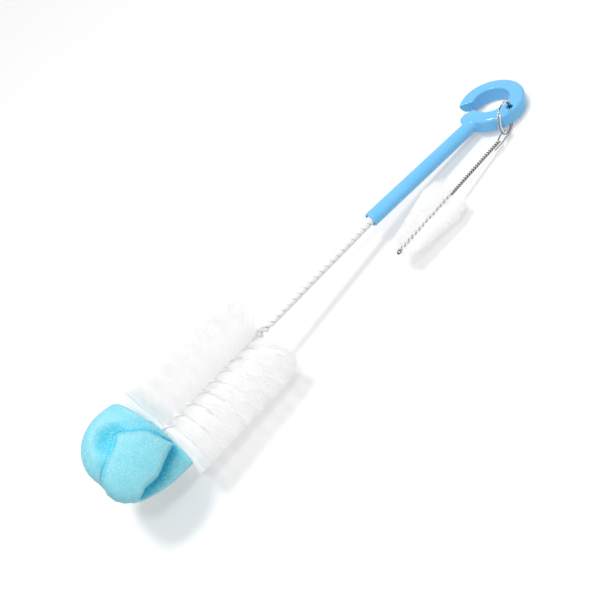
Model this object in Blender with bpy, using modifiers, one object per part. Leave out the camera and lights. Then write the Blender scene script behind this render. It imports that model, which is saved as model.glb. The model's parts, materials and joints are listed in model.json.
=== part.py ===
"""Bottle brush: a hook handle, a twisted white stem, a round bristle head with a foam tip, and a small brush.

The small brush hangs from a split ring in the hook. Metres and degrees, +Z up, the table is z = 0.
Every solid is written in the handle's own frame, with its origin at the hook's centre, +X along the
handle towards the head and +Z out of the hook's flat face, and one empty lays that frame on the table.
The brush rests on the far edge of its hook and on the bristles at the stem end of its head.
"""
import math
import random

import bmesh
import bpy
import numpy as np
from mathutils import Matrix, Vector

# Handle and hook
HOOK_OUTER_RADIUS = 0.0185
HOOK_BAND = 0.0082
HOOK_THICKNESS = 0.0085
HOOK_RIM_FILLET = 0.0018
HOOK_INNER_FILLET = 0.0008
HOOK_END_ROUND = 0.0004
HOOK_END_ANGLE_DEG = -58.2
HOOK_END_SLANT_DEG = -42.0
TONGUE_END_ANGLE_DEG = -22.0
TONGUE_ROUND = 0.003
TONGUE_ROUND_INSET = 0.001
TONGUE_TOP_INSET = 0.0001
HANDLE_LENGTH = 0.0988
HANDLE_ROOT_RADIUS = 0.00384
HANDLE_MOUTH_RADIUS = 0.00418
HANDLE_MOUTH_ROUND = 0.0006
HANDLE_BORE_DEPTH = 0.035
SHARP_EDGE_DEG = 50.0
HOOK_STEPS = 56
HANDLE_STEPS = 28
FILLET_STEPS = 3

# Hole for the split ring
RING_HOLE_RADIUS = 0.0018
RING_HOLE_FLARE = 0.0015
RING_HOLE_INSET = 0.0036
RING_HOLE_ANGLE_DEG = 86.0
RING_HOLE_STEPS = 20

# Stem of two coated wires twisted together
STEM_WIRE_DIAMETER = 0.0022
STEM_WIRE_GAP = 0.00038
STEM_PITCH = 0.0083
STEM_LEAN_DEG = 3.38
STEM_BEND_INSET = 0.002
STEM_WIRE_IN_FOAM = 0.013
WIRE_POINTS_PER_TURN = 8

# Bristle head
HEAD_START = 0.188
HEAD_LENGTH = 0.0645
HEAD_RADIUS = 0.0275
HEAD_SHOULDER = 0.009
HEAD_SHOULDER_DROP = 0.0032
HEAD_PITCH = 0.0154
HEAD_LEAN_BACK = 0.0038
HEAD_LEAN_FORWARD = 0.0022
HEAD_LEAN_WANDER = 0.0005
HEAD_WEB_THICKNESS = 0.0004
HEAD_WEB_GAP = 0.00028
HEAD_WEB_OVERHANG = 0.0001
HEAD_STRANDS_A_SIDE = 165
TABLE_CUT = 0.0005

# Foam tip of four folded petals. Each is an egg, given by the place of its middle (along, across, out)
# and its radii (towards the base, the tip, each side, outwards, inwards), and is cut to an outline
# (along, across). Along is a share of the foam's length, and the rest are shares of its radius.
FOAM_GAP = 0.0016
FOAM_LENGTH = 0.0384
FOAM_RADIUS = 0.0274
FOAM_SOCKET_CLEARANCE = 0.0004
FOAM_FACING_DEG = 41.0
FOAM_AROUND = 36
FOAM_ALONG = 18
WIDE_PETAL_SHARES = ((0.453, -0.292, 0.073), (0.703, 0.55, 0.712, 0.639, 0.657))
WEDGE_PETAL_SHARES = ((0.414, 0.219, -0.146), (0.78, 0.6, 0.85, 0.456, 0.474))
TOP_PETAL_SHARES = ((0.492, 0.0, 0.146), (0.651, 0.651, 0.949, 0.825, 0.3))
UNDER_PETAL_SHARES = ((0.466, 0.0, 0.073), (0.7, 0.54, 0.85, 0.803, 0.2))
WIDE_OUTLINE_SHARES = (
    (0.03, 0.5), (0.045, 0.1), (0.1, -0.5), (0.15, -0.9), (0.22, -1.1), (1.1, -1.1), (1.1, 0.5))
WEDGE_OUTLINE_SHARES = (
    (-0.1, -0.4), (-0.1, 0.765), (0.35, 0.74), (0.57, 0.68), (0.74, 0.6), (0.84, 0.51), (0.94, 0.3),
    (0.94, -0.4))
TOP_OUTLINE_SHARES = (
    (0.076, 0.255), (0.159, -0.033), (0.195, -0.175), (0.258, -0.266), (0.346, -0.358), (0.427, -0.474),
    (0.477, -0.496), (0.609, -0.387), (0.727, -0.328), (0.857, -0.237), (0.956, -0.128), (0.984, -0.062),
    (1.018, 0.08), (1.003, 0.252), (0.938, 0.401), (0.844, 0.5), (0.766, 0.49), (0.695, 0.442),
    (0.479, 0.456), (0.279, 0.343))
UNDER_OUTLINE_SHARES = (
    (-0.1, 0.25), (0.05, -0.3), (0.35, -0.5), (0.6, -0.5), (0.85, -0.36), (0.98, -0.1), (0.98, 0.3),
    (0.85, 0.5), (0.5, 0.5), (0.2, 0.4))

# Split ring
RING_RADIUS = 0.0086
RING_WIRE_DIAMETER = 0.0008
RING_TURN_PITCH = 0.00124
RING_REACH = 0.0076
RING_AZIMUTH_DEG = 22.0
RING_STEP_ANGLE_DEG = 85.0
RING_STEP_HALF_DEG = 30.0
RING_TABLE_GAP = 0.0003
RING_POINTS_PER_TURN = 24

# Small brush of bare steel wire
EYE_RING_ANGLE_DEG = -45.0
SMALL_WIRE_DIAMETER = 0.0008
SMALL_WIRE_GAP = 0.00056
SMALL_PITCH = 0.0035
SMALL_HEAD_PITCH = 0.0061
SMALL_AZIMUTH_DEG = 6.9
EYE_HALF_WIDTH = 0.00165
EYE_TIP = 0.0030
EYE_LEG = 0.0022
EYE_TWIST_START = 0.0056
EYE_TAIL_END = 0.0125
EYE_TAIL_SIDE = 0.00215
EYE_STEPS = 6
FOLD_STEPS = 4
SMALL_HEAD_START = 0.0512
SMALL_HEAD_LENGTH = 0.0418
SMALL_HEAD_WIDEST = 0.0085
SMALL_START_RADIUS = 0.0106
SMALL_WIDEST_RADIUS = 0.01206
SMALL_TIP_RADIUS = 0.0062
SMALL_LEAN_BACK = 0.0012
SMALL_LEAN_FORWARD = 0.0010
SMALL_LEAN_WANDER = 0.0003
SMALL_WIRE_TIP = 0.0024
SMALL_WEB_THICKNESS = 0.00024
SMALL_WEB_GAP = 0.00023
SMALL_WEB_OVERHANG = 0.0002
SMALL_STRANDS_A_SIDE = 55

# Shared
CUT_OVERRUN = 0.002
MERGE = 0.00001
MILLIMETRES = 1000.0
SEED = 7
BLUE = (0.115, 0.50, 0.90, 1.0)
FOAM_BLUE = (0.20, 0.66, 0.86, 1.0)
WHITE = (0.93, 0.93, 0.92, 1.0)
STEEL = (0.62, 0.61, 0.60, 1.0)


def clear_scene():
    """Removes what a new scene holds."""
    for obj in list(bpy.data.objects):
        bpy.data.objects.remove(obj, do_unlink=True)


def collection(name):
    """A new collection in the scene."""
    made = bpy.data.collections.new(name)
    bpy.context.scene.collection.children.link(made)
    return made


def material(name, colour, roughness, metallic):
    """A Principled material of one colour."""
    made = bpy.data.materials.new(name)
    made.use_nodes = True
    shader = made.node_tree.nodes["Principled BSDF"]
    shader.inputs["Base Color"].default_value = colour
    shader.inputs["Roughness"].default_value = roughness
    shader.inputs["Metallic"].default_value = metallic
    return made


def empty(name, parts, parent, matrix):
    """An empty that carries a body, placed in its parent's frame."""
    made = bpy.data.objects.new(name, None)
    made.parent = parent
    made.matrix_local = matrix
    parts.objects.link(made)
    return made


def add(name, data, parts, parent, look=None):
    """An object of this mesh or curve, in its parent's frame."""
    made = bpy.data.objects.new(name, data)
    made.parent = parent
    parts.objects.link(made)
    if look:
        data.materials.append(look)
    return made


def as_cutter(obj):
    """Marks a helper that the solids don't include."""
    obj.hide_render = True
    obj.display_type = "WIRE"
    return obj


def boolean(obj, other, operation):
    """Joins another mesh to this one, or cuts it away."""
    made = obj.modifiers.new(other.name, "BOOLEAN")
    made.operation = operation
    made.object = other
    made.solver = "EXACT"


def turned(name, profile, steps, parts, parent, look=None, closed=False):
    """A solid turned about local Z from a profile of (radius, height) that runs down its outer side."""
    mesh = bpy.data.meshes.new(name)
    count = len(profile)
    edges = [(i, i + 1) for i in range(count - 1)]
    if closed:
        edges.append((count - 1, 0))
    mesh.from_pydata([(radius, 0.0, height) for radius, height in profile], edges, [])
    made = add(name, mesh, parts, parent, look)
    screw = made.modifiers.new("Turn", "SCREW")
    screw.steps = steps
    screw.render_steps = steps
    screw.use_merge_vertices = True
    screw.merge_threshold = MERGE
    screw.use_smooth_shade = True
    return made


def arc(centre, radius, start_deg, end_deg, steps):
    """Points of an arc in a plane, from one angle to the other."""
    points = []
    for i in range(steps + 1):
        angle = math.radians(start_deg + (end_deg - start_deg) * i / steps)
        points.append((centre[0] + radius * math.cos(angle), centre[1] + radius * math.sin(angle)))
    return points


def prism(name, outline, height, parts, parent):
    """A prism on a plan outline, centred on z = 0."""
    curve = bpy.data.curves.new(name, "CURVE")
    curve.dimensions = "2D"
    curve.fill_mode = "BOTH"
    curve.extrude = height / 2
    spline = curve.splines.new("POLY")
    spline.points.add(len(outline) - 1)
    for point, (x, y) in zip(spline.points, outline):
        point.co = (x, y, 0.0, 1.0)
    spline.use_cyclic_u = True
    drawn = add(name + "_outline", curve, parts, parent)
    mesh = bpy.data.meshes.new_from_object(drawn.evaluated_get(bpy.context.evaluated_depsgraph_get()))
    bpy.data.objects.remove(drawn, do_unlink=True)
    welded = bmesh.new()
    welded.from_mesh(mesh)
    bmesh.ops.remove_doubles(welded, verts=welded.verts, dist=MERGE)
    bmesh.ops.recalc_face_normals(welded, faces=welded.faces)
    welded.to_mesh(mesh)
    welded.free()
    return add(name, mesh, parts, parent)


def wire(name, points, diameter, parts, parent, look):
    """A round wire with closed ends along a run of points."""
    curve = bpy.data.curves.new(name, "CURVE")
    curve.dimensions = "3D"
    curve.bevel_depth = diameter / 2
    curve.bevel_resolution = 1
    curve.use_fill_caps = True
    spline = curve.splines.new("POLY")
    spline.points.add(len(points) - 1)
    for point, place in zip(spline.points, points):
        point.co = (*place, 1.0)
    spline.use_smooth = True
    return add(name, curve, parts, parent, look)


def least_self_gap(points, diameter):
    """The least gap between stretches of one wire that lie further apart along it than half a bend."""
    run = np.array([tuple(point) for point in points])
    steps = np.linalg.norm(np.diff(run, axis=0), axis=1)
    along = np.concatenate([[0.0], np.cumsum(steps)])
    places = np.arange(0.0, along[-1], diameter / 4)
    dense = np.stack([np.interp(places, along, run[:, axis]) for axis in range(3)], axis=1)
    least = math.inf
    for i in range(len(dense)):
        far = places > places[i] + math.pi * diameter
        if far.any():
            least = min(least, np.linalg.norm(dense[far] - dense[i], axis=1).min())
    return least - diameter


class Twist:
    """Two strands twisted round a line, with one pitch along the shank and another in the bristles."""

    def __init__(self, line, hand, start, head_start, pitches, offsets, phase):
        self.line = line
        self.hand = hand
        self.start = start
        self.head_start = head_start
        self.pitches = pitches
        self.offsets = offsets
        self.phase = phase

    def angle(self, s):
        """The twist's angle at distance s along the line."""
        shank = (min(s, self.head_start) - self.start) / self.pitches[0]
        head = max(s - self.head_start, 0.0) / self.pitches[1]
        return self.phase + self.hand * math.tau * (shank + head)

    def offset(self, s):
        """The distance of each strand's middle from the line: it opens before the bristles start."""
        opening = (s - self.head_start) / self.pitches[0] + 1.0
        opening = min(max(opening, 0.0), 1.0)
        return self.offsets[0] + (self.offsets[1] - self.offsets[0]) * opening

    def across(self, s, turn):
        """The unit vector square to the line that is turned from the strands by this angle."""
        _, side, up = self.line(s)
        angle = self.angle(s) + turn
        return side * math.cos(angle) + up * math.sin(angle)

    def strand(self, end, turn):
        """Points along one strand, at equal steps of the twist."""
        points = []
        s = self.start
        while s < end:
            points.append(self.line(s)[0] + self.across(s, turn) * self.offset(s))
            pitch = self.pitches[0] if s < self.head_start else self.pitches[1]
            s += pitch / WIRE_POINTS_PER_TURN
        points.append(self.line(end)[0] + self.across(end, turn) * self.offset(end))
        return points


def bristles(name, twist, start, length, web, stations_a_strand, strands, tip, height, parts, parent, look):
    """A twisted web with a strand on each side of every strand place, cut flat at the table.

    The web is (half width, thickness). tip(share) gives the strands' length from the line and their lean
    along it, and height(point) is a point's height over the table.
    """
    half, thickness = web
    stations = strands * stations_a_strand
    mesh = bpy.data.meshes.new(name)
    made = bmesh.new()
    bmesh.ops.create_grid(made, x_segments=stations, y_segments=2, size=1.0)
    flat = made.faces[:]
    top = bmesh.ops.extrude_face_region(made, geom=flat)["geom"]
    upper = {item for item in top if isinstance(item, bmesh.types.BMVert)}
    bmesh.ops.reverse_faces(made, faces=[face for face in flat if face.is_valid])
    share_of = {}
    side_of = {}
    for vert in made.verts:
        share_of[vert] = (vert.co.x + 1.0) / 2
        side_of[vert] = vert.co.y
    for vert in made.verts:
        s = start + length * share_of[vert]
        level = thickness / 2 if vert in upper else -thickness / 2
        across = twist.across(s, math.pi / 2)
        along = twist.across(s, math.pi)
        vert.co = twist.line(s)[0] + across * (side_of[vert] * half) + along * level
    bmesh.ops.recalc_face_normals(made, faces=made.faces)
    edges = []
    for face in made.faces:
        sides = {side_of[vert] for vert in face.verts}
        shares = [share_of[vert] for vert in face.verts]
        middle = sum(shares) / len(shares)
        station = int(middle * stations)
        if len(sides) == 1 and max(shares) > min(shares) and station % stations_a_strand == 0:
            edges.append((face, middle, sides.pop()))
    made.faces.ensure_lookup_table()
    order = {face: (middle, side) for face, middle, side in edges}
    faces = sorted(order, key=order.get)
    places = [order[face] for face in faces]
    pulled = bmesh.ops.extrude_discrete_faces(made, faces=faces)["faces"]
    for face, (middle, side) in zip(pulled, places):
        s = start + length * middle
        radius, lean = tip(middle)
        root = face.calc_center_median()
        end = twist.line(s + lean)[0] + twist.across(s, math.pi / 2) * (side * radius)
        direction = (end - root).normalized()
        for vert in face.verts:
            vert.co = end + (vert.co - root)
            below = height(vert.co)
            if below < 0.0:
                fall = height(vert.co + direction) - below
                vert.co -= direction * (below / fall)
    made.to_mesh(mesh)
    made.free()
    return add(name, mesh, parts, parent, look)


def resting_tilt(near, near_radius, far, cut):
    """The angle that the handle's axis rises at, from the two places (x, z) that rest on the table.

    The near place is the middle of a round edge, and the far one lies below the table by the cut.
    """
    run = far[0] - near[0]
    drop = near[1] - far[1]
    return math.atan2(drop, run) - math.asin((near_radius + cut) / math.hypot(run, drop))


class Layout:
    """Where the handle's frame, the split ring and the small brush lie."""

    def __init__(self):
        rim = HOOK_OUTER_RADIUS - HOOK_RIM_FILLET
        under = HOOK_THICKNESS / 2 - HOOK_RIM_FILLET
        lowest_bristles = (HEAD_START + HEAD_SHOULDER - HEAD_LEAN_BACK, -HEAD_RADIUS)
        self.tilt = resting_tilt((-rim, -under), HOOK_RIM_FILLET, lowest_bristles, TABLE_CUT)
        self.rise = rim * math.sin(self.tilt) + under * math.cos(self.tilt) + HOOK_RIM_FILLET
        self.frame = Matrix.Translation((0.0, 0.0, self.rise)) @ Matrix.Rotation(-self.tilt, 4, "Y")
        self.ring_frame = self.place_ring()
        self.small_frame = self.place_small_brush()

    def height(self, point):
        """Height over the table of a point in the handle's frame."""
        return (self.frame @ Vector(point)).z

    def small_height(self, point):
        """Height over the table of a point in the small brush's frame."""
        return self.height(self.small_frame @ Vector(point))

    def place_ring(self):
        """The frame of the split ring: origin in the middle of its hole, +X towards the ring's middle."""
        return Matrix.Translation(ring_hole_place()) @ Matrix.Rotation(math.radians(RING_AZIMUTH_DEG), 4, "Z")

    def ring_middle(self):
        """The ring's middle in its own frame, at the height that leaves its lowest turn over the table."""
        reach = Vector((RING_REACH, 0.0, 0.0))
        needed = RING_RADIUS + RING_WIRE_DIAMETER / 2 + RING_TABLE_GAP
        short = needed - self.height(self.ring_frame @ reach)
        return reach + Vector((0.0, 0.0, short / math.cos(self.tilt)))

    def place_small_brush(self):
        """The frame of the small brush: origin in its eye, +X along its shank, +Z square to its eye."""
        angle = math.radians(EYE_RING_ANGLE_DEG)
        on_ring = Vector((math.cos(angle), 0.0, math.sin(angle))) * RING_RADIUS
        eye = self.ring_frame @ (self.ring_middle() + on_ring)
        ring_way = self.ring_frame.to_3x3() @ Vector((-math.sin(angle), 0.0, math.cos(angle)))
        widest = SMALL_HEAD_START + SMALL_HEAD_WIDEST
        reach = math.hypot(widest, SMALL_WIDEST_RADIUS)
        slope = math.atan2(SMALL_WIDEST_RADIUS, widest)
        slope -= math.asin((self.height(eye) + TABLE_CUT) / reach)
        azimuth = math.radians(SMALL_AZIMUTH_DEG)
        level = Vector((math.cos(azimuth), math.sin(azimuth), 0.0)) * math.cos(slope)
        upright = self.frame.to_3x3().inverted()
        shank = upright @ (level + Vector((0.0, 0.0, math.sin(slope))))
        side = ring_way.cross(shank).normalized()
        square = shank.cross(side)
        turned_to = Matrix((shank, side, square)).transposed().to_4x4()
        return Matrix.Translation(eye) @ turned_to


def ring_hole_place():
    """The middle of the split ring's hole, in the handle's frame."""
    angle = math.radians(RING_HOLE_ANGLE_DEG)
    return Vector((math.cos(angle), math.sin(angle), 0.0)) * (HOOK_OUTER_RADIUS - RING_HOLE_INSET)


def build_handle(parts, cutters, parent, look):
    """The moulded handle: a hook ring with an opening and a hole, and a tube with a bore for the stem."""
    band = build_hook_band(parts, parent, look)
    boolean(band, as_cutter(build_hook_opening(cutters, parent)), "DIFFERENCE")
    rounding = band.modifiers.new("Round", "BEVEL")
    rounding.width = HOOK_END_ROUND
    rounding.segments = 1
    rounding.limit_method = "ANGLE"
    rounding.angle_limit = math.radians(SHARP_EDGE_DEG)
    boolean(band, as_cutter(build_tongue_round(cutters, parent)), "UNION")
    boolean(band, as_cutter(build_handle_tube(cutters, parent)), "UNION")
    boolean(band, as_cutter(build_ring_hole(cutters, parent)), "DIFFERENCE")
    return band


def build_hook_band(parts, parent, look):
    """The full ring of the hook, rounded outside and less so inside."""
    outer = HOOK_OUTER_RADIUS - HOOK_RIM_FILLET
    inner = HOOK_OUTER_RADIUS - HOOK_BAND + HOOK_INNER_FILLET
    outer_level = HOOK_THICKNESS / 2 - HOOK_RIM_FILLET
    inner_level = HOOK_THICKNESS / 2 - HOOK_INNER_FILLET
    profile = arc((outer, outer_level), HOOK_RIM_FILLET, 90, 0, FILLET_STEPS)
    profile += arc((outer, -outer_level), HOOK_RIM_FILLET, 0, -90, FILLET_STEPS)
    profile += arc((inner, -inner_level), HOOK_INNER_FILLET, -90, -180, FILLET_STEPS - 1)
    profile += arc((inner, inner_level), HOOK_INNER_FILLET, 180, 90, FILLET_STEPS - 1)
    return turned("handle", profile, HOOK_STEPS, parts, parent, look, closed=True)


def tongue_round():
    """Where the round end of the tongue touches the tongue's straight side, and its middle."""
    angle = math.radians(TONGUE_END_ANGLE_DEG)
    out = Vector((math.cos(angle), math.sin(angle)))
    touch = out * (HOOK_OUTER_RADIUS - TONGUE_ROUND_INSET)
    return touch, touch + Vector((-out.y, out.x)) * TONGUE_ROUND


def build_hook_opening(cutters, parent):
    """The space between the hook's free end and the tongue beside the tube."""
    reach = HOOK_OUTER_RADIUS + CUT_OVERRUN
    touch, middle = tongue_round()
    end_angle = math.radians(HOOK_END_ANGLE_DEG)
    end = Vector((math.cos(end_angle), math.sin(end_angle))) * (HOOK_OUTER_RADIUS - HOOK_BAND / 2)
    end_way = Vector((1.0, math.tan(math.radians(HOOK_END_SLANT_DEG))))
    outline = [touch / 2, touch, middle, (reach, middle.y)]
    outline += [(reach, -reach), end + end_way * (reach - end.x), end - end_way * (end.x / 2)]
    return prism("hook_opening", outline, HOOK_THICKNESS + CUT_OVERRUN * 2, cutters, parent)


def build_tongue_round(cutters, parent):
    """The round end of the tongue, which stands a little out of the hook along the tube."""
    top = HOOK_THICKNESS / 2 - TONGUE_TOP_INSET
    level = top - HOOK_END_ROUND
    profile = [(0.0, top)]
    profile += arc((TONGUE_ROUND - HOOK_END_ROUND, level), HOOK_END_ROUND, 90, 0, FILLET_STEPS - 1)
    profile += arc((TONGUE_ROUND - HOOK_END_ROUND, -level), HOOK_END_ROUND, 0, -90, FILLET_STEPS - 1)
    profile.append((0.0, -top))
    made = turned("tongue_round", profile, HANDLE_STEPS, cutters, parent)
    made.matrix_local = Matrix.Translation(tongue_round()[1].to_3d())
    return made


def build_handle_tube(cutters, parent):
    """The tapered tube, from inside the hook's band to its rounded mouth, with the stem's blind bore."""
    start = HOOK_OUTER_RADIUS - HOOK_BAND / 2
    pair = stem_twist().offsets[0] + STEM_WIRE_DIAMETER / 2
    bend = STEM_BEND_INSET * math.tan(math.radians(STEM_LEAN_DEG))
    bore = pair + bend + STEM_WIRE_GAP
    round_level = HANDLE_LENGTH - HANDLE_MOUTH_ROUND
    profile = [(0.0, HANDLE_LENGTH - HANDLE_BORE_DEPTH), (bore, HANDLE_LENGTH - HANDLE_BORE_DEPTH)]
    profile += arc((bore + HANDLE_MOUTH_ROUND / 2, HANDLE_LENGTH - HANDLE_MOUTH_ROUND / 2),
                   HANDLE_MOUTH_ROUND / 2, 180, 90, FILLET_STEPS - 1)
    profile += arc((HANDLE_MOUTH_RADIUS - HANDLE_MOUTH_ROUND, round_level), HANDLE_MOUTH_ROUND, 90, 0,
                   FILLET_STEPS)
    profile += [(HANDLE_ROOT_RADIUS, start), (0.0, start)]
    tube = turned("handle_tube", profile, HANDLE_STEPS, cutters, parent)
    tube.matrix_local = Matrix.Rotation(math.radians(90.0), 4, "Y")
    return tube


def build_ring_hole(cutters, parent):
    """The split ring's hole, flared at the underside where the ring bends away from it."""
    top = HOOK_THICKNESS / 2 + CUT_OVERRUN
    flare_top = RING_HOLE_FLARE - HOOK_THICKNESS / 2
    past = RING_HOLE_RADIUS + RING_HOLE_FLARE + CUT_OVERRUN
    profile = [(0.0, top), (RING_HOLE_RADIUS, top), (RING_HOLE_RADIUS, flare_top), (past, -top), (0.0, -top)]
    hole = turned("ring_hole", profile, RING_HOLE_STEPS, cutters, parent)
    hole.matrix_local = Matrix.Translation(ring_hole_place())
    return hole


def stem_line(s):
    """The stem's centre line at distance s from the hook: its point and two cross directions."""
    bend_at = HANDLE_LENGTH - STEM_BEND_INSET
    beyond = max(s - bend_at, 0.0)
    lean = math.radians(STEM_LEAN_DEG) if beyond else 0.0
    point = Vector((min(s, bend_at) + beyond * math.cos(lean), beyond * math.sin(lean), 0.0))
    return point, Vector((-math.sin(lean), math.cos(lean), 0.0)), Vector((0.0, 0.0, 1.0))


def stem_twist():
    """The twist of the two stem wires, which open for the web of bristles."""
    shank = (STEM_WIRE_DIAMETER + STEM_WIRE_GAP) / 2
    head = STEM_WIRE_DIAMETER / 2 + HEAD_WEB_THICKNESS / 2 + HEAD_WEB_GAP
    start = HANDLE_LENGTH - HANDLE_BORE_DEPTH + STEM_WIRE_DIAMETER
    return Twist(stem_line, 1, start, HEAD_START - STEM_WIRE_DIAMETER, (STEM_PITCH, HEAD_PITCH),
                 (shank, head), 0.0)


def build_stem(parts, parent, look):
    """The two coated wires, which end in the foam tip."""
    twist = stem_twist()
    end = HEAD_START + HEAD_LENGTH + FOAM_GAP + STEM_WIRE_IN_FOAM
    wire("stem_wire_a", twist.strand(end, 0.0), STEM_WIRE_DIAMETER, parts, parent, look)
    wire("stem_wire_b", twist.strand(end, math.pi), STEM_WIRE_DIAMETER, parts, parent, look)


def build_main_bristles(parts, parent, look, layout):
    """The round head of nylon bristles, clamped between the stem wires."""
    twist = stem_twist()
    wander = random.Random(SEED)

    def tip(share):
        rounding = max(1.0 - share * HEAD_LENGTH / HEAD_SHOULDER, 0.0)
        radius = HEAD_RADIUS - HEAD_SHOULDER_DROP * rounding ** 2
        lean = HEAD_LEAN_FORWARD * share - HEAD_LEAN_BACK * (1.0 - share)
        return radius, lean + wander.uniform(-HEAD_LEAN_WANDER, HEAD_LEAN_WANDER)

    half = twist.offset(HEAD_START) + STEM_WIRE_DIAMETER / 2 + HEAD_WEB_OVERHANG
    return bristles("main_bristles", twist, HEAD_START, HEAD_LENGTH, (half, HEAD_WEB_THICKNESS), 1,
                    HEAD_STRANDS_A_SIDE, tip, layout.height, parts, parent, look)


def foam_frame(turn_deg):
    """The foam's frame: origin at its base, +X along the stem, +Z out at this turn from the top petal."""
    place, side, up = stem_line(HEAD_START + HEAD_LENGTH + FOAM_GAP)
    angle = math.radians(FOAM_FACING_DEG + turn_deg)
    out = side * math.cos(angle) + up * math.sin(angle)
    along = side.cross(up)
    return Matrix.Translation(place) @ Matrix((along, out.cross(along), out)).transposed().to_4x4()


def build_petal(name, shares, turn_deg, parts, parent, look=None):
    """One petal of the foam, as an egg."""
    (along, across, out), (base, tip, side, outer, inner) = shares
    mesh = bpy.data.meshes.new(name)
    made = bmesh.new()
    bmesh.ops.create_uvsphere(made, u_segments=FOAM_AROUND, v_segments=FOAM_ALONG, radius=1.0)
    for vert in made.verts:
        long = tip if vert.co.x > 0.0 else base
        high = outer if vert.co.z > 0.0 else inner
        vert.co = Vector(((along + vert.co.x * long) * FOAM_LENGTH,
                          (across + vert.co.y * side) * FOAM_RADIUS,
                          (out + vert.co.z * high) * FOAM_RADIUS))
    bmesh.ops.recalc_face_normals(made, faces=made.faces)
    for face in made.faces:
        face.smooth = True
    made.to_mesh(mesh)
    made.free()
    petal = add(name, mesh, parts, parent, look)
    petal.matrix_local = foam_frame(turn_deg)
    return petal


def build_foam_prism(name, shares, turn_deg, cutters, parent):
    """A prism that stands through the foam on an outline of shares."""
    outline = [(along * FOAM_LENGTH, across * FOAM_RADIUS) for along, across in shares]
    made = prism(name, outline, FOAM_RADIUS * 2 + CUT_OVERRUN * 2, cutters, parent)
    made.matrix_local = foam_frame(turn_deg)
    return as_cutter(made)


def build_foam(parts, cutters, parent, look):
    """The foam tip: a wide petal, a wedge, and one petal over and one under both, with the wires' socket."""
    foam = build_petal("sponge", WIDE_PETAL_SHARES, 0.0, parts, parent, look)
    outline = build_foam_prism("wide_petal_outline", WIDE_OUTLINE_SHARES, 0.0, cutters, parent)
    boolean(foam, outline, "INTERSECT")
    for name, shares, outline, turn_deg in (("wedge_petal", WEDGE_PETAL_SHARES, WEDGE_OUTLINE_SHARES, 0.0),
                                            ("under_petal", UNDER_PETAL_SHARES, UNDER_OUTLINE_SHARES, 180.0),
                                            ("top_petal", TOP_PETAL_SHARES, TOP_OUTLINE_SHARES, 0.0)):
        petal = as_cutter(build_petal(name, shares, turn_deg, cutters, parent))
        boolean(petal, build_foam_prism(name + "_outline", outline, turn_deg, cutters, parent), "INTERSECT")
        boolean(foam, petal, "UNION")
    beyond = ((-1.0, -1.0), (0.0, -1.0), (0.0, 1.0), (-1.0, 1.0))
    boolean(foam, build_foam_prism("foam_base", beyond, 0.0, cutters, parent), "DIFFERENCE")
    boolean(foam, as_cutter(build_foam_socket(cutters, parent)), "DIFFERENCE")
    return foam


def build_foam_socket(cutters, parent):
    """The space that the stem wires fill in the foam."""
    radius = stem_twist().offset(HEAD_START) + STEM_WIRE_DIAMETER / 2 + FOAM_SOCKET_CLEARANCE
    depth = STEM_WIRE_IN_FOAM + STEM_WIRE_DIAMETER / 2 + FOAM_SOCKET_CLEARANCE
    profile = [(0.0, depth), (radius, depth), (radius, -CUT_OVERRUN), (0.0, -CUT_OVERRUN)]
    socket = turned("foam_socket", profile, HANDLE_STEPS // 2, cutters, parent)
    socket.matrix_local = foam_frame(0.0) @ Matrix.Rotation(math.radians(90.0), 4, "Y")
    return socket


def build_split_ring(parts, layout, parent, look):
    """Nearly two turns of steel wire side by side, with the step from one turn to the next."""
    middle = layout.ring_middle()
    start = RING_STEP_ANGLE_DEG + RING_STEP_HALF_DEG
    turns_deg = 720.0 - 2 * RING_STEP_HALF_DEG
    count = round(RING_POINTS_PER_TURN * turns_deg / 360.0)
    points = []
    for i in range(count + 1):
        angle = start + turns_deg * i / count
        step = (angle - (start + 360.0 - 2 * RING_STEP_HALF_DEG)) / (2 * RING_STEP_HALF_DEG)
        step = min(max(step, 0.0), 1.0)
        level = RING_TURN_PITCH * (step * step * (3 - 2 * step) - 0.5)
        way = math.radians(angle)
        points.append(middle + Vector((RING_RADIUS * math.cos(way), level, RING_RADIUS * math.sin(way))))
    gap = least_self_gap(points, RING_WIRE_DIAMETER)
    print("least gap of the split ring to itself, mm:", gap * MILLIMETRES)
    return wire("split_ring", points, RING_WIRE_DIAMETER, parts, parent, look)


def small_line(s):
    """The small brush's centre line, along its own X."""
    return Vector((s, 0.0, 0.0)), Vector((0.0, 1.0, 0.0)), Vector((0.0, 0.0, 1.0))


def small_twist():
    """The left-handed twist of the doubled steel wire."""
    shank = (SMALL_WIRE_DIAMETER + SMALL_WIRE_GAP) / 2
    head = SMALL_WIRE_DIAMETER / 2 + SMALL_WEB_THICKNESS / 2 + SMALL_WEB_GAP
    return Twist(small_line, -1, EYE_TWIST_START, SMALL_HEAD_START - SMALL_WIRE_DIAMETER,
                 (SMALL_PITCH, SMALL_HEAD_PITCH), (shank, head), 0.0)


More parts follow.
